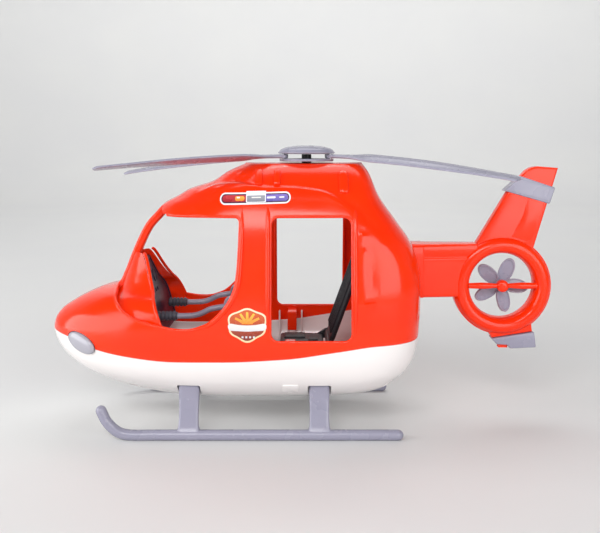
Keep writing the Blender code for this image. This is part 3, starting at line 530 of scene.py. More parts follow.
def swept(name, points, radii, side=(0, 1, 0), sides=16, closed=False, dome=True):
    """A bar of changing radius along points, with round ends."""
    points = [Vector(p) for p in points]
    count = len(points)
    if not hasattr(radii, "__len__"):
        radii = [radii] * count
    side = Vector(side)
    rings = []

    def ring(middle, along, radius):
        across = (side - along * side.dot(along)).normalized()
        up = along.cross(across)
        return [middle + (across * cos(a) + up * sin(a)) * radius for a in turns(sides)]

    tangents = []
    for i in range(count):
        before = points[(i - 1) % count] if closed else points[max(i - 1, 0)]
        after = points[(i + 1) % count] if closed else points[min(i + 1, count - 1)]
        tangents.append((after - before).normalized())
    dome_angles = (0.35, 0.7, 1.1, 1.45) if dome and not closed else ()
    for a in dome_angles[::-1]:
        rings.append(ring(points[0] - tangents[0] * radii[0] * sin(a), tangents[0], radii[0] * cos(a)))
    for middle, radius, along in zip(points, radii, tangents):
        rings.append(ring(middle, along, radius))
    for a in dome_angles:
        rings.append(ring(points[-1] + tangents[-1] * radii[-1] * sin(a), tangents[-1], radii[-1] * cos(a)))
    return loft(name, rings, closed_ends=not closed)


def rounded_rectangle(x, z, radius, steps=8):
    """The (x, z) outline of a rectangle with round corners, between two x and two z."""
    corners = [(x[1], z[1], 0), (x[0], z[1], 90), (x[0], z[0], 180), (x[1], z[0], 270)]
    outline = []
    for cx, cz, first in corners:
        cx += radius * (-1 if cx == x[1] else 1)
        cz += radius * (-1 if cz == z[1] else 1)
        for i in range(steps + 1):
            a = radians(first + 90 * i / steps)
            outline.append((cx + radius * cos(a), cz + radius * sin(a)))
    return outline


# ---------------------------------------------------------------- cabin and belly shells
def plan_columns(nose_count, run_count, tail_count):
    """How far each column of a plan is along its nose, run and tail, and its share of the half width."""
    columns = []
    for phi in np.linspace(0, pi / 2, nose_count, endpoint=False):
        size = (cos(phi) ** NOSE_POWER + sin(phi) ** NOSE_POWER) ** (1 / NOSE_POWER)
        columns.append((1 - cos(phi) / size, 0, 0, sin(phi) / size))
    for t in np.linspace(0, 1, run_count, endpoint=False):
        columns.append((1, t, 0, 1))
    for phi in np.linspace(pi / 2, 0, tail_count):
        size = (cos(phi) ** TAIL_POWER + sin(phi) ** TAIL_POWER) ** (1 / TAIL_POWER)
        columns.append((1, 1, cos(phi) / size, sin(phi) / size))
    return np.array(columns).T


def even_heights(low, high, count):
    """Heights spaced evenly along the cabin's outline, so closer where it lies flat."""
    z = np.linspace(low, high, 600)
    slopes = [np.gradient(np.interp(z, *NOSE), z), np.gradient(np.interp(z, *REAR), z), np.gradient(half_width(z), z)]
    length = np.cumsum(np.sqrt(1 + 0.7 * slopes[0] ** 2 + 0.3 * slopes[1] ** 2 + slopes[2] ** 2))
    return np.interp(np.linspace(length[0], length[-1], count), length, z)


def shell_grid(heights, columns, seam_row=None):
    """Points and outward directions of the cabin's right side. heights run from 0 to 1 past the seam."""
    nose_at, run_at, tail_at, wide_at = columns
    level = np.repeat(heights[:, None], len(nose_at), 1)
    z = level.copy()
    x = np.zeros_like(z)
    for _settle in range(5):
        if seam_row == "above":
            seam = np.interp(x, *SEAM) + GAP / 2
            z = seam + (ROOF_Z - seam) * level
        elif seam_row == "below":
            seam = np.interp(x, *SEAM) - GAP / 2
            z = BELLY_Z + (seam - BELLY_Z) * level
        front, nose, run, tail, half = section(z)
        x = front + nose * nose_at + run * run_at + tail * tail_at
    y = half * wide_at
    points = np.stack([x, y, z], -1)
    along = np.gradient(points, axis=1)
    up = np.gradient(points, axis=0)
    out = np.cross(up, along)
    out[:, 0, 1] = 0
    out[:, -1, 1] = 0
    out /= np.linalg.norm(out, axis=2, keepdims=True)
    if out[len(out) // 2, len(nose_at) // 2, 1] < 0:
        out = -out
    return points, out


def closing_rows(points, out, shares, rise, row):
    """Rows that close the roof or the floor, drawn in to the middle plane."""
    edge = points[row]
    added, directions = [], []
    for share in shares:
        ring = edge.copy()
        ring[:, 1] *= share
        ring[:, 2] += rise * (1 - share**2)
        added.append(ring)
        facing = np.zeros_like(ring)
        facing[:, 2] = 1 if rise >= 0 and row == -1 else -1
        directions.append(facing)
    added, directions = np.array(added), np.array(directions)
    if row == -1:
        return np.concatenate([points, added]), np.concatenate([out, directions])
    return np.concatenate([added[::-1], points]), np.concatenate([directions[::-1], out])


def shell_solid(name, outer, inner, side):
    """A closed wall between two grids of the same size, on one side of the middle plane."""
    rows, cols = outer.shape[:2]
    bm = bmesh.new()
    layers = []
    for grid in (outer, inner):
        grid = grid.copy()
        grid[..., 1] = np.maximum(grid[..., 1], GAP / 2) * side
        layers.append([[bm.verts.new(grid[r, c]) for c in range(cols)] for r in range(rows)])
    for layer in layers:
        for r in range(rows - 1):
            for c in range(cols - 1):
                bm.faces.new((layer[r][c], layer[r][c + 1], layer[r + 1][c + 1], layer[r + 1][c]))
    rim = [(0, c) for c in range(cols)] + [(r, cols - 1) for r in range(1, rows)]
    rim += [(rows - 1, c) for c in range(cols - 2, -1, -1)] + [(r, 0) for r in range(rows - 2, 0, -1)]
    for (r0, c0), (r1, c1) in zip(rim, rim[1:] + rim[:1]):
        bm.faces.new((layers[0][r0][c0], layers[0][r1][c1], layers[1][r1][c1], layers[1][r0][c0]))
    return new_object(name, bm)


# The cockpit's opening seen from the side, past the nose and the roof's front edge.
COCKPIT_EDGE = flat_curve(PILLAR_EDGE, 6)
COCKPIT_CORNER = [(-60 + 5 * cos(radians(a)), COCKPIT_TOP - 5 + 5 * sin(radians(a))) for a in range(0, 91, 15)]
ROOF_LIP = [(-126, COCKPIT_TOP), (-129.3, 195.5), (-129.3, 201), (-200, 201), (-200, 130)]
COCKPIT_OUTLINE = ROOF_LIP + COCKPIT_EDGE[::-1] + COCKPIT_CORNER


def lamp_shape(name, side, grow=0.0, sides=40, rows=18):
    """A cat-eye headlamp: a long low dome on the seam at the corner of the nose."""
    middle = Vector((-195.0, side * 53.0, 81.0))
    along = Vector((0.80, side * 0.52, -0.27)).normalized()
    out = Vector((-0.56, side * 0.80, -0.10))
    out = (out - along * out.dot(along)).normalized()
    up = along.cross(out)
    rings = []
    for i in range(rows):
        a = radians(-84 + 168 * i / (rows - 1))
        ring = []
        for b in turns(sides):
            flat = along * (16.5 + grow) * cos(b) * cos(a) + up * (8.4 + grow) * sin(b) * cos(a)
            ring.append(middle + flat + out * (4.2 + grow) * sin(a))
        rings.append(ring)
    return loft(name, rings)


def edge_bead(name, outline, side, radius, depth, closed=False, sides=12):
    """A rounded lip along an opening's edge, on the cabin's skin."""
    points = []
    for x, z in outline:
        point, out = skin(x, z, side)
        points.append(point - out * depth)
    return swept(name, points, radius, side=(0, 1, 0.02), sides=sides, closed=closed)


def rib_on_skin(name, x, z, side, size, lean=0.0):
    """A long rounded rib standing on the cabin's skin: size is width, height and how far it stands out."""
    width, height, proud = size
    rings = []
    for i in range(25):
        t = -1 + 2 * i / 24
        swell = max((1 - abs(t) ** 7) ** (1 / 3), 0.03) if abs(t) < 1 else 0.03
        at_x, at_z = x + lean * t * height / 2, z + t * height / 2
        point, out = skin(at_x, at_z, side)
        across = out.cross(Vector((0, 0, 1))).normalized()
        ring = []
        for a in turns(16):
            wide, high = squared(a, 0.55)
            ring.append(point + across * wide * width / 2 * swell + out * high * proud * swell)
        rings.append(ring)
    return loft(name, rings)


def make_cabin():
    """Both halves of the red cabin, with lips round their openings, pillar ridges and roof vents."""
    columns = plan_columns(34, 26, 26)
    heights = (even_heights(BELT_Z, ROOF_Z, 96) - BELT_Z) / (ROOF_Z - BELT_Z)
    points, out = shell_grid(heights, columns, "above")
    points, out = closing_rows(points, out, (0.96, 0.88, 0.75, 0.6, 0.4, 0.2, 0.0), 0.7, -1)
    stand = relief(points[..., 0], points[..., 2])[..., None]
    outer = points + out * stand
    inner = points - out * WALL
    door = rounded_rectangle(DOOR_X, DOOR_Z, DOOR_RADIUS)
    top = [(x, COCKPIT_TOP) for x in range(-122, -61, 5)]
    pillar = [(-54.0, 199.5), (-53.6, 192)] + [(x + 1.6, z) for x, z in COCKPIT_EDGE[:40]]
    for name, side in HANDS.items():
        shell = shell_solid("cabin_" + name, outer, inner, side)
        combine(shell, prism("cockpit", COCKPIT_OUTLINE, -100, 100))
        combine(shell, prism("door", door, -100, 100))
        combine(shell, lamp_shape("lamp_pocket", side, 0.7))
        combine(shell, turned("mast_hole", (ROTOR_X, 0, 225), (0, 0, 1), [(0, 4.8), (20, 4.8)]))
        details = [
            edge_bead("door_lip", door, side, 1.5, 1.15, closed=True),
            edge_bead("cockpit_lip", top + COCKPIT_CORNER[::-1] + COCKPIT_EDGE, side, 1.55, 1.15),
            edge_bead("pillar_ridge", pillar, side, ridge_radii(42), 0.5),
            edge_bead("door_ridge_front", [(-31.8, 199.5 - 4.3 * i) for i in range(25)], side, ridge_radii(25), 0.5),
            edge_bead("door_ridge_rear", [(42.0, 198 - 4.3 * i) for i in range(25)], side, ridge_radii(25), 0.5),
            rib_on_skin("vent", -40.6, 223.9, side, (7.4, 13.5, 2.6)),
            rib_on_skin("vent", -24.6, 224.2, side, (6.2, 13.0, 2.6)),
            rib_on_skin("vent", 33.2, 220.0, side, (8.4, 19.0, 2.8)),
        ]
        for x, y in SCREW_PLACES:
            details.append(fixing_lug(x, y, side))
        joined(shell, *details)
        finish_piece(shell, RED, "airframe", ["cabin_shell_" + name])


def ridge_radii(count):
    """A ridge's radius: pointed at its top, full, then fading into the skin at its foot."""
    radii = []
    for i in range(count):
        t = i / (count - 1)
        radii.append(0.5 + 1.6 * min(t / 0.08, 1) ** 0.6 * (1 - max(t - 0.75, 0) / 0.25 * 0.75))
    return radii


def fixing_lug(x, y, side):
    """The bracket inside the cabin that a belly screw bites into."""
    wall = min(float(hull_y(x + shift, BELT_Z)) for shift in (-LUG_HALF, LUG_HALF)) - 0.8
    seam = float(np.interp(x, *SEAM))
    foot, step, top = 66, seam + 3, seam + 12
    outline = [(y - 5, foot), (wall - 3.5, foot), (wall - 3.5, step), (wall, step), (wall, top), (y - 5, top)]
    rings = [[(x + shift, side * along, z) for along, z in outline] for shift in (-LUG_HALF, LUG_HALF)]
    return softened(loft("lug", rings), 0.8, 50, 3)


def make_belly():
    """The white belly tub: skid pockets, screw posts, locating ribs and a small tab under each door."""
    columns = plan_columns(34, 26, 26)
    heights = (even_heights(BELLY_Z, BELT_Z, 46) - BELLY_Z) / (BELT_Z - BELLY_Z)
    points, out = shell_grid(heights, columns, "below")
    points, out = closing_rows(points, out, (0.94, 0.84, 0.7, 0.5, 0.25, 0.0), 0, 0)
    outer, inner = points, points - out * WALL
    belly = None
    for side in (-1, 1):
        half = shell_solid("belly", outer, inner, side)
        with editing(half) as bm:
            middle = [face for face in bm.faces if all(abs(v.co.y) < GAP for v in face.verts)]
            bmesh.ops.delete(bm, geom=middle, context="FACES")
            for vertex in bm.verts:
                if abs(vertex.co.y) < GAP:
                    vertex.co.y = 0
        belly = joined(belly, half) if belly else half
    with editing(belly) as bm:
        bmesh.ops.remove_doubles(bm, verts=bm.verts, dist=0.02)
        bmesh.ops.recalc_face_normals(bm, faces=bm.faces)
    for side in (-1, 1):
        for x in LEG_X:
            combine(belly, softened(pocket_room(x, side), 1.6, 50))
        combine(belly, lamp_shape("lamp_pocket", side, 0.7))
        for x, y in SCREW_PLACES:
            combine(belly, turned("hole", (x, side * y, 18), (0, 0, 1), [(0, 4.2), (48, 4.2)], 28))
    extras = []
    for side in (-1, 1):
        for x in LEG_X:
            extras.append(pocket_liner(x, side))
        for x, y in SCREW_PLACES:
            extras.append(screw_post(x, y, side))
        for x in (-26.0, -3.2):
            rib = soft_box("rib", (x - 0.8, x + 0.8), sorted((side * 66.5, side * 73.2)), (48, 83), 0.4, 2)
            extras.append(combine(rib, hull_block(0.6), "INTERSECT"))
        extras.append(side_tab(side))
    joined(belly, *extras)
    finish_piece(belly, WHITE, "airframe", ["belly_shell"])


def screw_post(x, y, side):
    """A tube from a screw's hole in the belly up to its lug."""
    low = BELLY_Z
    while float(hull_y(x, low)) < y + 4.8:
        low += 0.5
    profile = [
        (65.4, 2.0), (65.7, 2.4), (65.7, 4.0), (65.2, 4.4),
        (low + 0.4, 4.4), (low, 3.9), (low + 0.2, 3.2), (low + 4, 3.0), (low + 4, 2.0),
    ]
    return ring_solid("post", (x, side * y, 0), "z", profile, 28)


def pocket_room(x, side):
    """The room that a leg's top goes up into."""
    return box("pocket", (x - POCKET_HALF, x + POCKET_HALF), sorted((side * 51, side * 95)), (10, 47))


def pocket_liner(x, side):
    """The walls and the roof of a skid's pocket, inside the belly."""
    outer = box("liner", (x - 12, x + 12), sorted((side * 48.5, side * 75)), (24, 49.5))
    combine(outer, hull_block(0.6), "INTERSECT")
    combine(outer, pocket_room(x, side))
    return combine(outer, turned("hole", (x, side * 56, 40), (0, 0, 1), [(0, 1.7), (20, 1.7)], 20))


def hull_block(inset):
    """The belly as a plain solid, for trimming what lies inside it."""
    columns = plan_columns(12, 6, 8)
    heights = even_heights(BELLY_Z, BELT_Z, 16)
    points, out = shell_grid(heights, columns)
    points = points - out * inset
    rings = []
    for row in points:
        right = [tuple(p) for p in row]
        rings.append(right + [(p[0], -p[1], p[2]) for p in right[-2:0:-1]])
    return loft("hull", rings)


def side_tab(side):
    """A small flat tab on the belly's side."""
    rings = []
    for lift in (-0.5, 0.5, 0.8):
        inset = 0 if lift < 0.8 else 0.5
        outline = rounded_rectangle((-20 + inset, -6 - inset), (39 + inset, 48 - inset), 1.5, 4)
        rings.append([skin(x, z, side, lift)[0] for x, z in outline])
    return loft("tab", rings)


# ---------------------------------------------------------------- nose hood, post, lamps and dashboard
HOOD_REAR = [(-151, 154.5), (-146.8, 151.8), (-138.3, 132.5), (-129.6, 115.4), (-122.8, 99.8)]
HOOD_FOOT = [
    (-121.5, 92), (-134, 95), (-146, 98.5), (-158, 104), (-167, 110), (-174, 117), (-182, 121), (-184, 130),
]


def hood_width(z):
    """The share of the cabin's width that the hood keeps, since its side plates lean in to the post."""
    return 1 - 0.40 * soft_step((np.asarray(z, float) - 106) / 50)


def make_hood():
    """The red hood behind the nose, with the windscreen's centre post rising from it."""
    columns = plan_columns(44, 10, 2)[:, :54]
    heights = even_heights(90, 158, 60)
    points, out = shell_grid(heights, columns)
    x, z = points[..., 0], points[..., 2]
    plate_foot = [(-176, 128), (-168, 122.5), (-160, 117), (-146, 108.5), (-132, 101)]
    trough = np.exp(-((distance_to(plate_foot, x, z) / 5.0) ** 2)) * np.where(z < 160, 1, 0)
    inset = (WALL + GAP + 1.5 * trough)[..., None]
    outer, inner = points - out * inset, points - out * (inset + 2.0)
    for grid in (outer, inner):
        grid[..., 1] *= hood_width(grid[..., 2])
    rings = []
    for row_out, row_in in zip(outer, inner):
        right = [tuple(p) for p in row_out]
        ring = [(p[0], -p[1], p[2]) for p in right[:0:-1]] + right
        back = [tuple(p) for p in row_in]
        ring += back[::-1] + [(p[0], -p[1], p[2]) for p in back[1:]]
        rings.append(ring)
    hood = loft("hood", rings)
    rear, foot = flat_curve(HOOD_REAR, 6), flat_curve(HOOD_FOOT, 4)
    combine(hood, prism("hood_side", rear + foot + [(-168, 154.5)], -90, 90), "INTERSECT")
    beads = []
    for side in (-1, 1):
        path = []
        for at_x, at_z in rear[4:]:
            y = float(hull_y(at_x, at_z))
            slope = float(hull_y(at_x + 0.5, at_z) - hull_y(at_x - 0.5, at_z))
            normal = Vector((-slope, 1, 0)).normalized()
            point = Vector((at_x, y, at_z)) - normal * (WALL + GAP + 0.9)
            path.append(Vector((point.x, side * point.y * float(hood_width(at_z)), point.z)))
        beads.append(swept("hood_bead", path, 1.45, sides=14))
    joined(hood, centre_post(), *beads)
    finish_piece(hood, RED, "airframe", ["nose_hood"])


def centre_post():
    """The windscreen's post: a rounded bar that follows the nose line up to the roof, widening at its foot."""
    heights = np.linspace(123.5, 199.6, 60)
    front = np.interp(heights, *NOSE) + GAP
    rings = []
    for i, z in enumerate(heights):
        j, k = max(i - 1, 0), min(i + 1, len(heights) - 1)
        along = Vector((front[k] - front[j], 0, heights[k] - heights[j])).normalized()
        back = Vector((along.z, 0, -along.x))
        foot = max(1 - (z - 123.5) / 26, 0)
        wide, deep = 5.6 + 5.5 * foot**2, 3.9 + 0.8 * foot
        middle = Vector((front[i], 0, z)) + back * deep
        shapes = [squared(a, 0.62) for a in turns(28)]
        rings.append([middle + back * deep * u + Vector((0, wide * v, 0)) for u, v in shapes])
    return combine(loft("post", rings), box("roof_cut", (-129.6, -100), (-30, 30), (150, 240)))


def make_lamps():
    """The two grey headlamps."""
    for name, side in HANDS.items():
        lamp = lamp_shape("lamp_" + name, side, 0.0, 64, 30)
        finish_piece(lamp, LAMP, "airframe", ["headlamp_" + name])


def make_dashboard():
    """The dark panel across the cabin: a raised rim, a sunk field and three dials in relief."""
    top, low = Vector((-151.0, 0, 148.0)), Vector((-133.5, 0, 76.0))
    slope = (low - top).normalized()
    face = Vector((-slope.z, 0, slope.x))

    def half_at(at):
        """The panel's half width where it meets the hood."""
        return max((float(hull_y(at.x, at.z)) - 6.0) * float(hood_width(at.z)) - 1.5, 4.0)

    length = (low - top).length
    stations = np.linspace(0, length, 30)
    right = [(s, half_at(top + slope * s)) for s in stations]
    outline = right + [(s, -w) for s, w in right[::-1]]

    def layer(inset, height):
        ring = []
        for s, w in outline:
            at_s = min(max(s, inset), length - inset)
            at_w = (abs(w) - inset * 1.2) * (1 if w > 0 else -1)
            point = top + slope * at_s + face * height
            ring.append((point.x, at_w, point.z))
        return ring

    steps = ((0.3, 0), (0, 0.4), (0, 2.4), (0.6, 3.0), (2.6, 3.0), (3.2, 2.2))
    panel = loft("panel", [layer(inset, height) for inset, height in steps])
    extras = []
    for y, s, radius in ((-17, 20, 6.5), (0, 17, 8.0), (17, 20, 6.5)):
        start = top + slope * s + face * 1.8 + Vector((0, y, 0))
        profile = [
            (0, radius), (0.9, radius), (1.2, radius - 0.3), (1.2, radius - 1.1), (0.6, radius - 1.4), (0.5, 0.3),
        ]
        extras.append(turned("dial", start, face, profile, 36))
    for i in range(5):
        start = top + slope * 33 + face * 1.8 + Vector((0, -16 + 8 * i, 0))
        extras.append(turned("button", start, face, [(0, 1.9), (0.9, 1.9), (1.3, 1.4), (1.4, 0.2)], 20))
    joined(panel, *extras)
    finish_piece(panel, PANEL, "airframe", ["dashboard"])


# ---------------------------------------------------------------- tail
FIN = [
    (150, 148), (186, 208.6), (199.5, 224.8), (203.5, 229.3), (208, 232.2), (214, 233.2), (233, 231.7),
    (211.7, 158), (208, 150),
]
FOOT = [(163, 92), (174.1, 73.3), (211.6, 79.2), (209.5, 96)]


def tail_half(side):
    """Half of the tail: boom with its top roll, sunk side panel and flange, then fin, duct ring and foot."""
    def slab(outline, deep, radius, segments=5):
        piece = prism("slab", outline, side * GAP / 2, side * deep)
        return softened(piece, radius, 50, segments, lambda co: abs(co.y) > 1)

    profile = [
        (0, 162), (13.4, 162), (15.6, 161.2), (16.8, 159), (17, 156.5), (16.6, 153.6), (15.8, 151.6), (15.2, 150.4),
        (15.2, 149.6), (16.4, 148.4), (16.4, 147), (16.2, 146.4), (16.2, 116), (16.0, 114.4), (14.8, 113),
        (12.6, 112.5), (0, 112.5),
    ]
    profile = rounded(profile, 0.9, 3)

    def station(outline, x, size):
        """The half outline at x, narrowed by size, kept clear of the other half."""
        return [(x, side * max(y * size, GAP / 2), z) for y, z in outline]

    shares = [(x, (x - BOOM_X[0]) / (BOOM_X[1] - BOOM_X[0])) for x in (94, 110, 140, 158)]
    boom = loft("boom", [station(profile, x, 1 - BOOM_TAPER * share) for x, share in shares])
    flange = [(0, 162.3), (14, 162.3), (17.4, 160), (17.8, 154), (17.4, 120), (15.8, 112.9), (13, 112.2), (0, 112.2)]
    flange = rounded(flange, 1.6, 4)
    sizes = ((92, 0.96), (105.8, 0.92), (107.4, 0.91), (108.6, 0.875))
    flange = loft("flange", [station(flange, x, size) for x, size in sizes])
    ring_profile = rounded([
        (45.6, 0), (45.6, 5.6), (45.1, 6.0), (44.7, 5.9), (44.5, 6.6), (43.7, 8.7), (42.0, 10.7), (39.8, 11.8),
        (37.4, 12.1), (34.8, 11.5), (32.6, 9.8), (31.0, 7.2), (30.1, 3.8), (29.9, 0),
    ], 0.8, 3)
    ring_profile = [(side * max(y, GAP / 2), radius) for radius, y in ring_profile]
    duct = ring_solid("duct", (RING_X, 0, RING_Z), "y", ring_profile, 120)
    fin = slab(FIN, 6.0, 2.6, 6)
    panel = [(190.5, 168), (200, 186), (205.6, 205.5), (221, 203), (212.6, 172), (207, 164)]
    fin_panel = softened(prism("fin_panel", panel, side * 4.0, side * 6.5), 0.45, 50, 3, lambda co: abs(co.y) > 5)
    foot = slab(FOOT, 6.0, 2.0)
    bore = turned("bore", (RING_X, -40, RING_Z), (0, 1, 0), [(0, 37), (80, 37)], 96)
    cut_all((boom, fin, foot), bore)
    through, blind = [(-0.1, 1.8), (4, 1.8), (4, 3.2), (9, 3.2)], [(-0.1, 1.8), (5.2, 1.8), (5.4, 0.3)]
    for x, z in ((205.0, 181.0), (218.0, 225.0)):
        cut_all((fin, fin_panel), turned("hole", (x, 0, z), (0, side, 0), through if side > 0 else blind, 24))
    nub = soft_box("nub", (180.6, 189.2), sorted((side * GAP / 2, side * 3.2)), (63.5, 76), 0.6, 3)
    parts = [flange, duct, fin, fin_panel, foot, nub]
    if side < 0:
        parts += fan_bar()
    return joined(boom, *parts)


def fan_bar():
    """The red spindle-shaped bar across the duct, with the boss that holds the fan."""
    left, right = RING_X - 31.5, RING_X + 31.5
    stations = np.linspace(left, right, 40)
    points, radii = [], []
    for x in stations:
        t = (x - left) / (right - left)
        points.append((x, -7.6, RING_Z + 0.3))
        radii.append(2.5 + 0.45 * cos(2 * pi * t) - 0.35 * cos(4 * pi * t) + 0.15 * t)
    bar = swept("bar", points, radii, sides=20, dome=False)
    profile = [(0, 0.3), (0, 2.2), (0.5, 4.0), (1.6, 5.2), (3.2, 5.6), (7.2, 5.6), (7.2, 0.3)]
    boss = turned("boss", (RING_X, -11.6, RING_Z), (0, 1, 0), rounded(profile, 0.8, 3), 40)
    return [bar, boss]


def make_tail():
    """Both halves of the tail, the grooved sleeve round the fin and the cap on the foot."""
    for name, side in HANDS.items():
        finish_piece(tail_half(side), RED, "airframe", ["tail_shell_" + name], 32)
    outline = [(183.6, 210.6), (224.9, 198.6), (229.8, 213.6), (198.2, 224.2)]
    sleeve = softened(prism("collar", outline, -7.7, 7.7), 1.0, 50, 4)
    for t in (0.12, 0.88):
        a = Vector(outline[0]).lerp(Vector(outline[3]), t)
        b = Vector(outline[1]).lerp(Vector(outline[2]), t)
        for y in (-7.75, 7.75):
            groove = swept("groove", [(a.x - 3, y, a.y), (b.x + 3, y, b.y)], 0.28, sides=8, dome=False)
            combine(sleeve, groove)
    finish_piece(sleeve, GREY, "airframe", ["fin_collar"])
    cap = [(173.4, 72.9), (213, 79.1), (215, 64.6), (190.8, 63.4), (188.6, 67), (178.5, 67.4)]
    foot = softened(prism("foot_cap", cap, -7.0, 7.0), 1.1, 40, 4)
    finish_piece(foot, GREY, "airframe", ["fin_foot_cap"])


def leaf(angle, centre, reach, wide, pitch):
    """One fan petal: a leaf with a raised rim round a sunk field on both faces."""
    out = Vector((cos(angle), 0, sin(angle)))
    side = Vector((-sin(angle), 0, cos(angle)))
    across = side * cos(pitch) + Vector((0, sin(pitch), 0))
    normal = out.cross(across)
    outline = []
    for a in turns(48):
        along = 0.5 + 0.5 * cos(a)
        swell = (1 - 0.28 * cos(a)) if cos(a) < 0 else 1 - 0.10 * cos(a)
        outline.append((3.0 + (reach - 3.0) * along, wide * sin(a) * swell * (0.72 + 0.28 * along)))
    middle = (3.0 + reach) / 2
    face = [(1.0, 0), (1.0, 1.0), (0.96, 1.4), (0.85, 1.4), (0.79, 0.6), (0.4, 0.5)]
    sheet = face[::-1] + [(inset, -height) for inset, height in face[1:]]
    layers = []
    for inset, height in sheet:
        ring = []
        for u, v in outline:
            cup = 0.6 * (v / wide) ** 2
            point = centre + out * (middle + (u - middle) * inset) + across * v * inset + normal * (height + cup)
            ring.append(point)
        layers.append(ring)
    return loft("petal", layers)


def make_fan():
    """The tail fan: a hub with five petals."""
    centre = Vector((RING_X, 2.0, RING_Z))
    profile = [(0, 2.0), (0, 4.2), (0.8, 5.2), (7.2, 5.2), (8, 4.2), (8, 2.0)]
    hub = ring_solid("fan", (RING_X, -2, RING_Z), "y", rounded(profile, 0.6, 3), 40)
    petals = [leaf(radians(66 + 72 * i), centre, 26.4, 7.7, radians(18)) for i in range(5)]
    joined(hub, *petals)
    finish_piece(hub, GREY, "tail_fan", ["tail_fan"])


# ---------------------------------------------------------------- main rotor
def pivot_of(place):
    """A blade's pivot, the direction it lies in, and how far it droops."""
    along, across, spread_angle, droop = BLADES[place]
    pivot = Vector((ROTOR_X + along * 21.5, across * 9.5, ROTOR_Z))
    angle = atan2(across * sin(radians(spread_angle)), along * cos(radians(spread_angle)))
    return pivot, angle, droop


def make_blade(place):
    """A long drooping blade: a round knuckle, a shaped neck, a rolled leading edge and a soft spine."""
    pivot, angle, droop = pivot_of(place)
    flip = 1 if place in ("front_left", "rear_left") else -1
    along = Vector((cos(angle), sin(angle), 0))
    across = Vector((-sin(angle), cos(angle), 0))
    length, chord = 169.5, 17.0
    rings = []
    for i in range(74):
        t = i / 73
        reach = 2.5 + (length - 2.5) * t
        neck = float(soft_step((t - 0.02) / 0.2))
        wide = 7.4 + (chord - 7.4) * neck
        tip = max((reach - (length - 6)) / 6, 0)
        wide *= sqrt(max(1 - tip**2.6, 0.02))
        pitch = radians(18 - 8 * float(soft_step((t - 0.5) / 0.45))) * float(soft_step((t - 0.03) / 0.22)) * flip
        lean = across * cos(pitch) + Vector((0, 0, sin(pitch)))
        upright = along.cross(lean)
        middle = pivot + along * reach + Vector((0, 0, -droop * t**1.6))
        thick = (3.3 - 0.7 * t) / 2 * sqrt(max(1 - tip**4, 0.15))
        ring = []
        for a in turns(28):
            u, v = squared(a, 0.75)
            spine = 0.55 * np.exp(-((u / 0.16) ** 2)) * neck * (1 - tip) if v > 0 else 0
            rim = 0.35 * np.exp(-(((abs(u) - 0.86) / 0.1) ** 2)) * neck if v > 0 else 0
            ring.append(middle + lean * u * wide / 2 + upright * (v * thick + spine + rim - 0.3 * u * u))
        rings.append(ring)
    blade = loft("blade", rings)
    knuckle = rounded([(-1.8, 2.0), (-1.8, 3.9), (-1.3, 4.4), (1.3, 4.4), (1.8, 3.9), (1.8, 2.0)], 0.4, 2)
    hole = turned("hole", pivot - Vector((0, 0, 8)), (0, 0, 1), [(0, 2.0), (16, 2.0)], 24)
    combine(blade, hole)
    joined(blade, ring_solid("knuckle", pivot, "z", knuckle, 36))
    blade.name = "rotor_blade_" + place
    finish_piece(blade, GREY, "blade_" + place, ["blade_" + place])


def make_rotor():
    """The main rotor: four blades between a flat plate and a domed cap, on a short mast."""
    for place in BLADES:
        make_blade(place)
    base = Vector((ROTOR_X, 0, 0))
    plate = [(237.8, 4.9), (237.8, 24.2), (238.3, 25.0), (239.6, 25.0), (240.2, 24.4), (240.2, 21), (239.9, 20.6),
             (239.9, 9.5), (240.2, 9.1), (240.2, 4.9)]
    plate = ring_solid("hub_plate", base, "z", rounded(plate, 0.3, 2), 96)
    finish_piece(plate, GREY, "main_rotor", ["rotor_plate"])
    dome = [(244.6, 5.0), (244.6, 22.6), (244.9, 23.2), (244.9, 25.2), (245.3, 26.1), (246.0, 26.2), (246.5, 25.7)]
    for i in range(1, 22):
        a = (pi / 2) * i / 22
        dome.append((246.5 + 5.9 * sin(a), 25.2 * cos(a) ** 0.86))
    dome.append((252.4, 0.3))
    cap = turned("hub_cap", base, (0, 0, 1), [(244.6, 0.3)] + dome, 96)
    for place in BLADES:
        pivot = pivot_of(place)[0]
        combine(cap, turned("hole", pivot + Vector((0, 0, 1)), (0, 0, 1), [(0, 1.8), (3.6, 1.8)], 24))
    finish_piece(cap, GREY, "main_rotor", ["rotor_cap"])
    mast = [(222.0, 2.2), (222.4, 2.6), (232.2, 2.6), (232.2, 4.0), (232.7, 4.5), (244.0, 4.5), (244.2, 4.3)]
    mast = turned("mast", base, (0, 0, 1), rounded(mast, 0.2, 2), 48)
    finish_piece(mast, BLACK, "main_rotor", ["rotor_mast"])


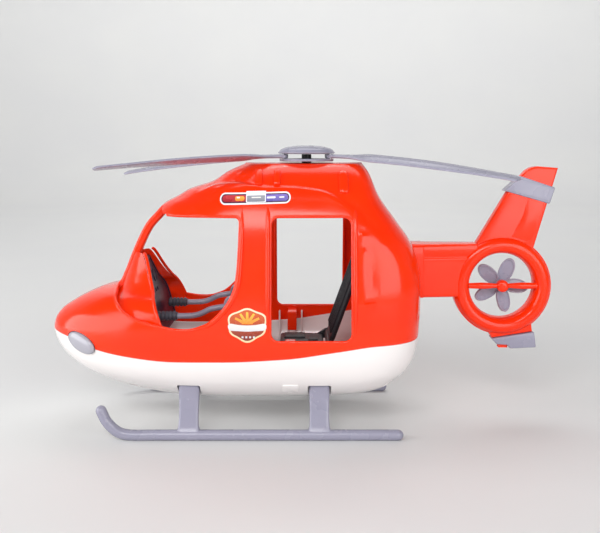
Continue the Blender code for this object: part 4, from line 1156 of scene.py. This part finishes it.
# ---------------------------------------------------------------- skids
def make_skids():
    """Each skid: a tube with an upswept toe and closed ends, and two legs that flare out on it."""
    z = 4.6 * cos(pi / 12)
    route = [(-175, 25.6), (-170, 15.6), (-161, 7.2)] + [(x, z) for x in (-150, -130, -90, -40, 10, 50, 79.5)]
    path = curve_through([(x, -67.0, height) for x, height in route], 8)
    skid = swept("skid", path, 4.55, sides=32)
    # Each station of a leg: its middle's y and height, then its half sizes along and across.
    stations = [
        (-57.35, 46.6, 9.0, 5.2), (-57.35, 44, 9.0, 5.15), (-57.4, 40.5, 8.95, 4.9), (-58.7, 34.0, 8.7, 3.6),
        (-60.9, 26, 8.4, 3.0), (-63.2, 18, 8.4, 2.9), (-65.2, 11, 8.8, 3.2), (-66.2, 7.6, 10.2, 3.9),
        (-66.6, 4.8, 12.4, 4.4),
    ]
    parts = []
    for x in LEG_X:
        rings = []
        for k in range(33):
            s = k / 32 * (len(stations) - 1)
            i = min(int(s), len(stations) - 2)
            t = s - i
            y, height, half, deep = [stations[i][n] * (1 - t) + stations[i + 1][n] * t for n in range(4)]
            rings.append([(x + half * u, y + deep * v, height) for u, v in (squared(a, 0.4) for a in turns(32))])
        leg = loft("leg", rings)
        hole = turned("hole", (x, -56.0, 0), (0, 0, 1), [(20, 3.3), (40.1, 3.3), (40.1, 1.8), (50, 1.8)], 28)
        parts.append(combine(leg, hole))
    joined(skid, *parts)
    right = mirrored(skid, "skid_r")
    skid.name = "skid_rail_left"
    right.name = "skid_rail_right"
    finish_piece(skid, GREY, "airframe", ["skid_left"])
    finish_piece(right, GREY, "airframe", ["skid_right"])


# ---------------------------------------------------------------- seat and levers
def make_seat():
    """The black seat: a dished base on its pedestal, with a buckle, and a ribbed back on two ears."""
    base = soft_box("seat", (-23.7, 17.2), (-29, 29), (65, 70), 1.6, 5)
    parts = [soft_box("pedestal", (-14, 14), (-15, 15), (29.8, 66), 1.5)]
    ear = [(8.7, 65.5), (27.2, 65.5), (27.3, 71.6), (25.9, 74.0), (22.7, 75.4), (19.3, 74.6), (10.7, 69)]
    for y in (-29, 25):
        parts.append(softened(prism("ear", ear, y, y + 4), 0.6, 35, 3))
    parts.append(soft_box("buckle", (3, 12), (-5, 5), (69, 72), 1.1))
    for y in (-17, 17):
        parts.append(soft_box("cushion", (-20, 0), (y - 9.5, y + 9.5), (69, 71.2), 1.0))
    cut_all(parts[1:3], turned("hole", (SEAT_HINGE_X, -40, SEAT_HINGE_Z), (0, 1, 0), [(0, 2.0), (80, 2.0)], 32))
    joined(base, *parts)
    base.name = "seat_cushion_base"
    finish_piece(base, BLACK, "airframe", ["seat_base"])
    lean = radians(20)
    hinge = Vector((SEAT_HINGE_X, 0, SEAT_HINGE_Z))
    up, rear = Vector((sin(lean), 0, cos(lean))), Vector((cos(lean), 0, -sin(lean)))

    def slab(depth, length, y, radius, segments=4):
        corners = [hinge + rear * d + up * u for d, u in
                   ((depth[0], length[0]), (depth[1], length[0]), (depth[1], length[1]), (depth[0], length[1]))]
        return softened(prism("slab", [(c.x, c.z) for c in corners], y[0], y[1]), radius, 50, segments)

    back = slab((-3.0, 1.6), (5.8, 83.6), (-28, 28), 2.0, 5)
    parts = [slab((-2.6, 1.2), (1, 9), (-24.4, 24.4), 0.5)]
    for i in range(7):
        y = -24 + 8 * i
        parts.append(slab((-4.8, -2.4), (11, 77.6), (y - 0.7, y + 0.7), 0.5, 3))
    parts.append(slab((-5.0, -2.4), (76, 80), (-26, 26), 1.0, 3))
    barrel = rounded([(-24.4, 2.0), (-24.4, 3.6), (-24, 4.0), (24, 4.0), (24.4, 3.6), (24.4, 2.0)], 0.3, 2)
    parts.append(ring_solid("barrel", hinge, "y", barrel, 32))
    joined(back, *parts)
    back.name = "seat_backrest"
    finish_piece(back, BLACK, "seat_back", ["seat_back"])


def make_levers():
    """Steering levers: a flat eye on each pin, an S-curved arm, and a grip with raised rings."""
    route = [(-71.5, 108.4), (-78, 107.4), (-85.3, 105.8), (-92, 102.6), (-98.2, 100.5), (-106, 99.8), (-117, 99.8)]
    for hand, side in HANDS.items():
        y = side * LEVER_Y
        path = curve_through([(x, y, z) for x, z in route], 8)
        arm = swept("arm", path, 2.5, sides=24)
        eye = rounded([(-2.6, 2.4), (-2.6, 6.3), (-2.1, 6.8), (2.1, 6.8), (2.6, 6.3), (2.6, 2.4)], 0.4, 2)
        joined(arm, ring_solid("eye", (LEVER_X, y, LEVER_Z), "y", eye, 48))
        arm.name = "steering_arm_" + hand
        finish_piece(arm, GREY, "steering_lever_" + hand, ["lever_" + hand])
        profile = [(0, 0.3), (0, 3.0), (0.5, 3.9), (1.2, 4.4)]
        for i in range(5):
            at = 1.2 + i * 3.4
            profile += [(at, 4.4), (at + 1.9, 4.4), (at + 2.2, 3.35), (at + 3.1, 3.35)]
        profile += [(18.3, 3.6), (18.5, 3.2), (18.5, 2.6)]
        grip = turned("steering_grip_" + hand, (-133, y, 99.8), (1, 0, 0), rounded(profile, 0.25, 2), 40)
        finish_piece(grip, GRIP, "steering_lever_" + hand, ["grip_" + hand])
        pin = rounded([(0, 0.3), (0, 2.2), (0.3, 3.0), (0.9, 3.4), (0.9, 2.0), (12.6, 2.0)], 0.2, 2)
        pin = turned("lever_pivot_" + hand, (LEVER_X, y + side * 4.6, LEVER_Z), (0, -side, 0), pin, 36)
        finish_piece(pin, NATURAL, "airframe", ["lever_pin_" + hand])


# ---------------------------------------------------------------- stickers
def even_steps(outline, longest):
    """The same closed outline, with no step longer than asked."""
    made = []
    for (x0, z0), (x1, z1) in zip(outline, outline[1:] + outline[:1]):
        count = max(int(hypot(x1 - x0, z1 - z0) / longest + 0.999), 1)
        made += [(x0 + (x1 - x0) * i / count, z0 + (z1 - z0) * i / count) for i in range(count)]
    return made


def film(name, outline, side, lift, material, rings=10):
    """A thin printed film laid on the cabin's skin; its outline is in (x, z)."""
    outline = even_steps(outline, 1.2)
    cx = sum(p[0] for p in outline) / len(outline)
    cz = sum(p[1] for p in outline) / len(outline)
    layers = []
    for share, height in [(1.0, -0.06)] + [(1 - i / rings, lift) for i in range(rings)] + [(0.02, lift)]:
        spots = [(cx + (x - cx) * share, cz + (z - cz) * share) for x, z in outline]
        layers.append([skin(x, z, side, height)[0] for x, z in spots])
    finish_piece(loft(name, layers), material, "airframe", (), 60)


def make_light_bar(side, hand):
    """The printed light bar over the pillar: a red lens, a grey middle and a blue lens in a white border."""
    films = [
        ("border", (-73, -12.6), (201.4, 211.0), 4.7, 0.05, "white"),
        ("lens_dark", (-71.8, -13.8), (202.6, 209.8), 3.5, 0.09, "lens_dark"),
        ("lens_red", (-70.8, -50), (203.5, 208.9), 2.6, 0.13, "bar_red"),
        ("lens_blue", (-36, -14.8), (203.5, 208.9), 2.6, 0.13, "bar_blue"),
        ("block", (-50.6, -33.8), (202.8, 212.0), 0.7, 0.17, "white"),
        ("block_dark", (-49.8, -34.6), (203.4, 208.4), 0.5, 0.21, "bar_grey"),
        ("block_shine", (-46, -38), (206.4, 207.3), 0.4, 0.25, "pale"),
        ("shine_red", (-60, -52), (204.4, 208.0), 1.5, 0.17, "orange"),
        ("shine_spot", (-58.5, -55.8), (206.4, 207.5), 0.5, 0.21, "white"),
        ("shine_blue", (-33, -25.5), (205.8, 207.3), 0.7, 0.17, "white"),
        ("glint_blue", (-22.4, -18), (206.0, 207.1), 0.5, 0.17, "pale"),
    ]
    for name, across, up, radius, lift, ink in films:
        outline = [(x, z + (x + 43) * 0.03) for x, z in rounded_rectangle(across, up, radius)]
        film(f"sticker_bar_{name}_{hand}", outline, side, lift, INK[ink])


BADGE_X, RAYS_Z = -48.8, 103.0


def badge_outline(grow=0.0, count=72):
    """A plain six-sided badge with soft corners, wider at its middle."""
    outline = []
    for a in turns(count):
        reach = (1 + 0.05 * cos(6 * (a - pi / 2))) * (1 + 0.03 * cos(3 * (a + pi / 2)))
        outline.append((BADGE_X + (16.4 + grow) * cos(a) * reach, 102.4 + (14.0 + grow) * sin(a) * reach))
    return outline


def make_badge(side, hand):
    """A generic badge: cream edge, dark field, warm rays and a plain ribbon without lettering."""
    film(f"sticker_badge_edge_{hand}", badge_outline(), side, 0.05, INK["cream"])
    film(f"sticker_badge_field_{hand}", badge_outline(-1.5), side, 0.09, INK["ember"])
    for i in range(5):
        a = radians(30 + 30 * i)
        square = radians(90) + a
        ray = []
        for far, high, half in ((3, 2.6, 1.3), (3, 2.6, -1.3), (11.6, 10.2, -0.9), (11.6, 10.2, 0.9)):
            ray.append((BADGE_X + far * cos(a) + half * cos(square), RAYS_Z + high * sin(a) + half * sin(square)))
        film(f"sticker_badge_ray_{i}_{hand}", ray, side, 0.13, INK["amber"], 3)
    half_disc = [(BADGE_X + 4.6 * cos(pi * k / 16), RAYS_Z + 4.6 * sin(pi * k / 16)) for k in range(17)]
    film(f"sticker_badge_disc_{hand}", half_disc, side, 0.17, INK["amber"], 3)
    ribbon = [(-64, 98.2), (-56, 97.2), (-48.8, 96.8), (-41.6, 97.2), (-33.6, 98.2), (-33.6, 103.4), (-41.6, 102.4),
              (-48.8, 102.0), (-56, 102.4), (-64, 103.4)]
    film(f"sticker_badge_ribbon_{hand}", flat_curve(ribbon, 3, True), side, 0.21, INK["pale"])
    for i in range(4):
        x = -53.6 + 3.2 * i
        check = [(x, 91.2), (x + 1.6, 91.2), (x + 1.6, 92.8), (x, 92.8)]
        film(f"sticker_badge_check_{i}_{hand}", check, side, 0.17, INK["pale"], 2)


INK = {
    "white": printed("ink_white", (0.86, 0.86, 0.88), (0.80, 0.80, 0.84), 200, 213),
    "pale": printed("ink_pale", (0.82, 0.80, 0.76), (0.62, 0.62, 0.66), 96, 104),
    "cream": printed("ink_cream", (0.86, 0.74, 0.52), (0.80, 0.60, 0.34), 88, 116),
    "ember": printed("ink_ember", (0.62, 0.10, 0.02), (0.20, 0.015, 0.01), 90, 112),
    "amber": printed("ink_amber", (0.92, 0.55, 0.06), (0.86, 0.22, 0.02), 103, 113),
    "orange": printed("ink_orange", (0.95, 0.50, 0.10), (0.90, 0.28, 0.03), 206, 209),
    "lens_dark": printed("ink_lens_dark", (0.10, 0.03, 0.07), (0.05, 0.015, 0.04), 202, 211),
    "bar_red": printed("ink_bar_red", (0.60, 0.05, 0.06), (0.26, 0.01, 0.02), 203, 210),
    "bar_blue": printed("ink_bar_blue", (0.22, 0.17, 0.55), (0.06, 0.05, 0.26), 203, 210),
    "bar_grey": printed("ink_bar_grey", (0.30, 0.31, 0.36), (0.16, 0.16, 0.20), 203, 208),
}


# ---------------------------------------------------------------- what the frame shows as it is
def dress_nodes():
    """Better materials for the frame's own fasteners, pins and bracket."""
    looks = {"steel": STEEL, "natural": NATURAL, "black": BLACK}
    slots = {part["node"]: part["material_slot"] for part in frame["record"]["subparts"]}
    for name, obj in frame["nodes"].items():
        if slots[name] in looks and obj.data.materials:
            for index in range(len(obj.material_slots)):
                obj.material_slots[index].material = looks[slots[name]]


# ---------------------------------------------------------------- stage
def make_stage():
    """A pale floor that curves up far away on every side."""
    profile = [(0, 0), (1.6, 0), (2.6, 0)]
    profile += [(2.6 + 1.2 * sin(radians(a)), 1.2 - 1.2 * cos(radians(a))) for a in range(6, 91, 6)] + [(3.8, 2.6)]
    bm = bmesh.new()
    sides = 96
    centre = bm.verts.new((0, 0, 0))
    rings = []
    for radius, height in profile[1:]:
        rings.append([bm.verts.new((radius * cos(a), radius * sin(a), height)) for a in turns(sides)])
    for k in range(sides):
        bm.faces.new((centre, rings[0][k], rings[0][(k + 1) % sides]))
    for low, high in zip(rings, rings[1:]):
        for k in range(sides):
            bm.faces.new((low[k], low[(k + 1) % sides], high[(k + 1) % sides], high[k]))
    floor = new_object("floor", bm)
    paint, tree, shader = plain_material("pale_floor")
    tint = mixed(tree, spread(tree, noise(tree, 3, 3), 0, 1), (0.72, 0.72, 0.71), (0.70, 0.70, 0.70))
    tree.links.new(tint, shader.inputs["Base Color"])
    shader.inputs["Roughness"].default_value = 0.6
    floor.data.materials.append(paint)
    floor.data.shade_smooth()


def area_light(name, place, target, size, power):
    data = bpy.data.lights.new(name, "AREA")
    data.shape = "RECTANGLE"
    data.size, data.size_y = size
    data.energy = power
    light = placed(name, data)
    light.location = place
    light.rotation_euler = (Vector(target) - Vector(place)).to_track_quat("-Z", "Y").to_euler()


def make_light():
    world = bpy.data.worlds.new("studio")
    world.use_nodes = True
    background = world.node_tree.nodes["Background"]
    background.inputs["Color"].default_value = (0.93, 0.95, 1.0, 1)
    background.inputs["Strength"].default_value = 0.13
    bpy.context.scene.world = world
    target = (0, 0, 0.12)
    area_light("front_key", (-0.4, -1.7, 1.3), target, (1.2, 0.5), 17.5)
    area_light("left_panel", (-1.35, -0.45, 0.45), target, (1.6, 0.9), 17)
    area_light("right_panel", (0.78, -1.25, 0.5), target, (0.9, 1.0), 10)
    area_light("top_panel", (0, 0.75, 1.7), target, (1.6, 0.9), 10)
    area_light("wall_wash", (0, 1.6, 2.6), (0, 3.8, 0.9), (2.4, 0.6), 60)
    area_light("front_wash", (0, -1.9, 2.6), (0, -3.8, 0.9), (2.4, 0.6), 20)
    bpy.context.scene.view_settings.view_transform = "Standard"


def make_camera():
    """Level with the rotor, square to the left side, a little pitched, with the rest of the framing by shift."""
    data = bpy.data.cameras.new("camera")
    data.sensor_width = 36
    data.lens = 46.3
    data.clip_start = 0.01
    data.shift_y = -0.1225
    data.shift_x = -0.0033
    camera = placed("camera", data)
    camera.location = (-0.003, -0.715, 0.252)
    camera.rotation_euler = (radians(90 - 3.5), 0, 0)
    bpy.context.scene.camera = camera


make_camera()
make_light()
make_stage()
make_cabin()
make_belly()
make_hood()
make_lamps()
make_dashboard()
make_tail()
make_fan()
make_rotor()
make_skids()
make_seat()
make_levers()
for hand, side in HANDS.items():
    make_light_bar(side, hand)
    make_badge(side, hand)
dress_nodes()
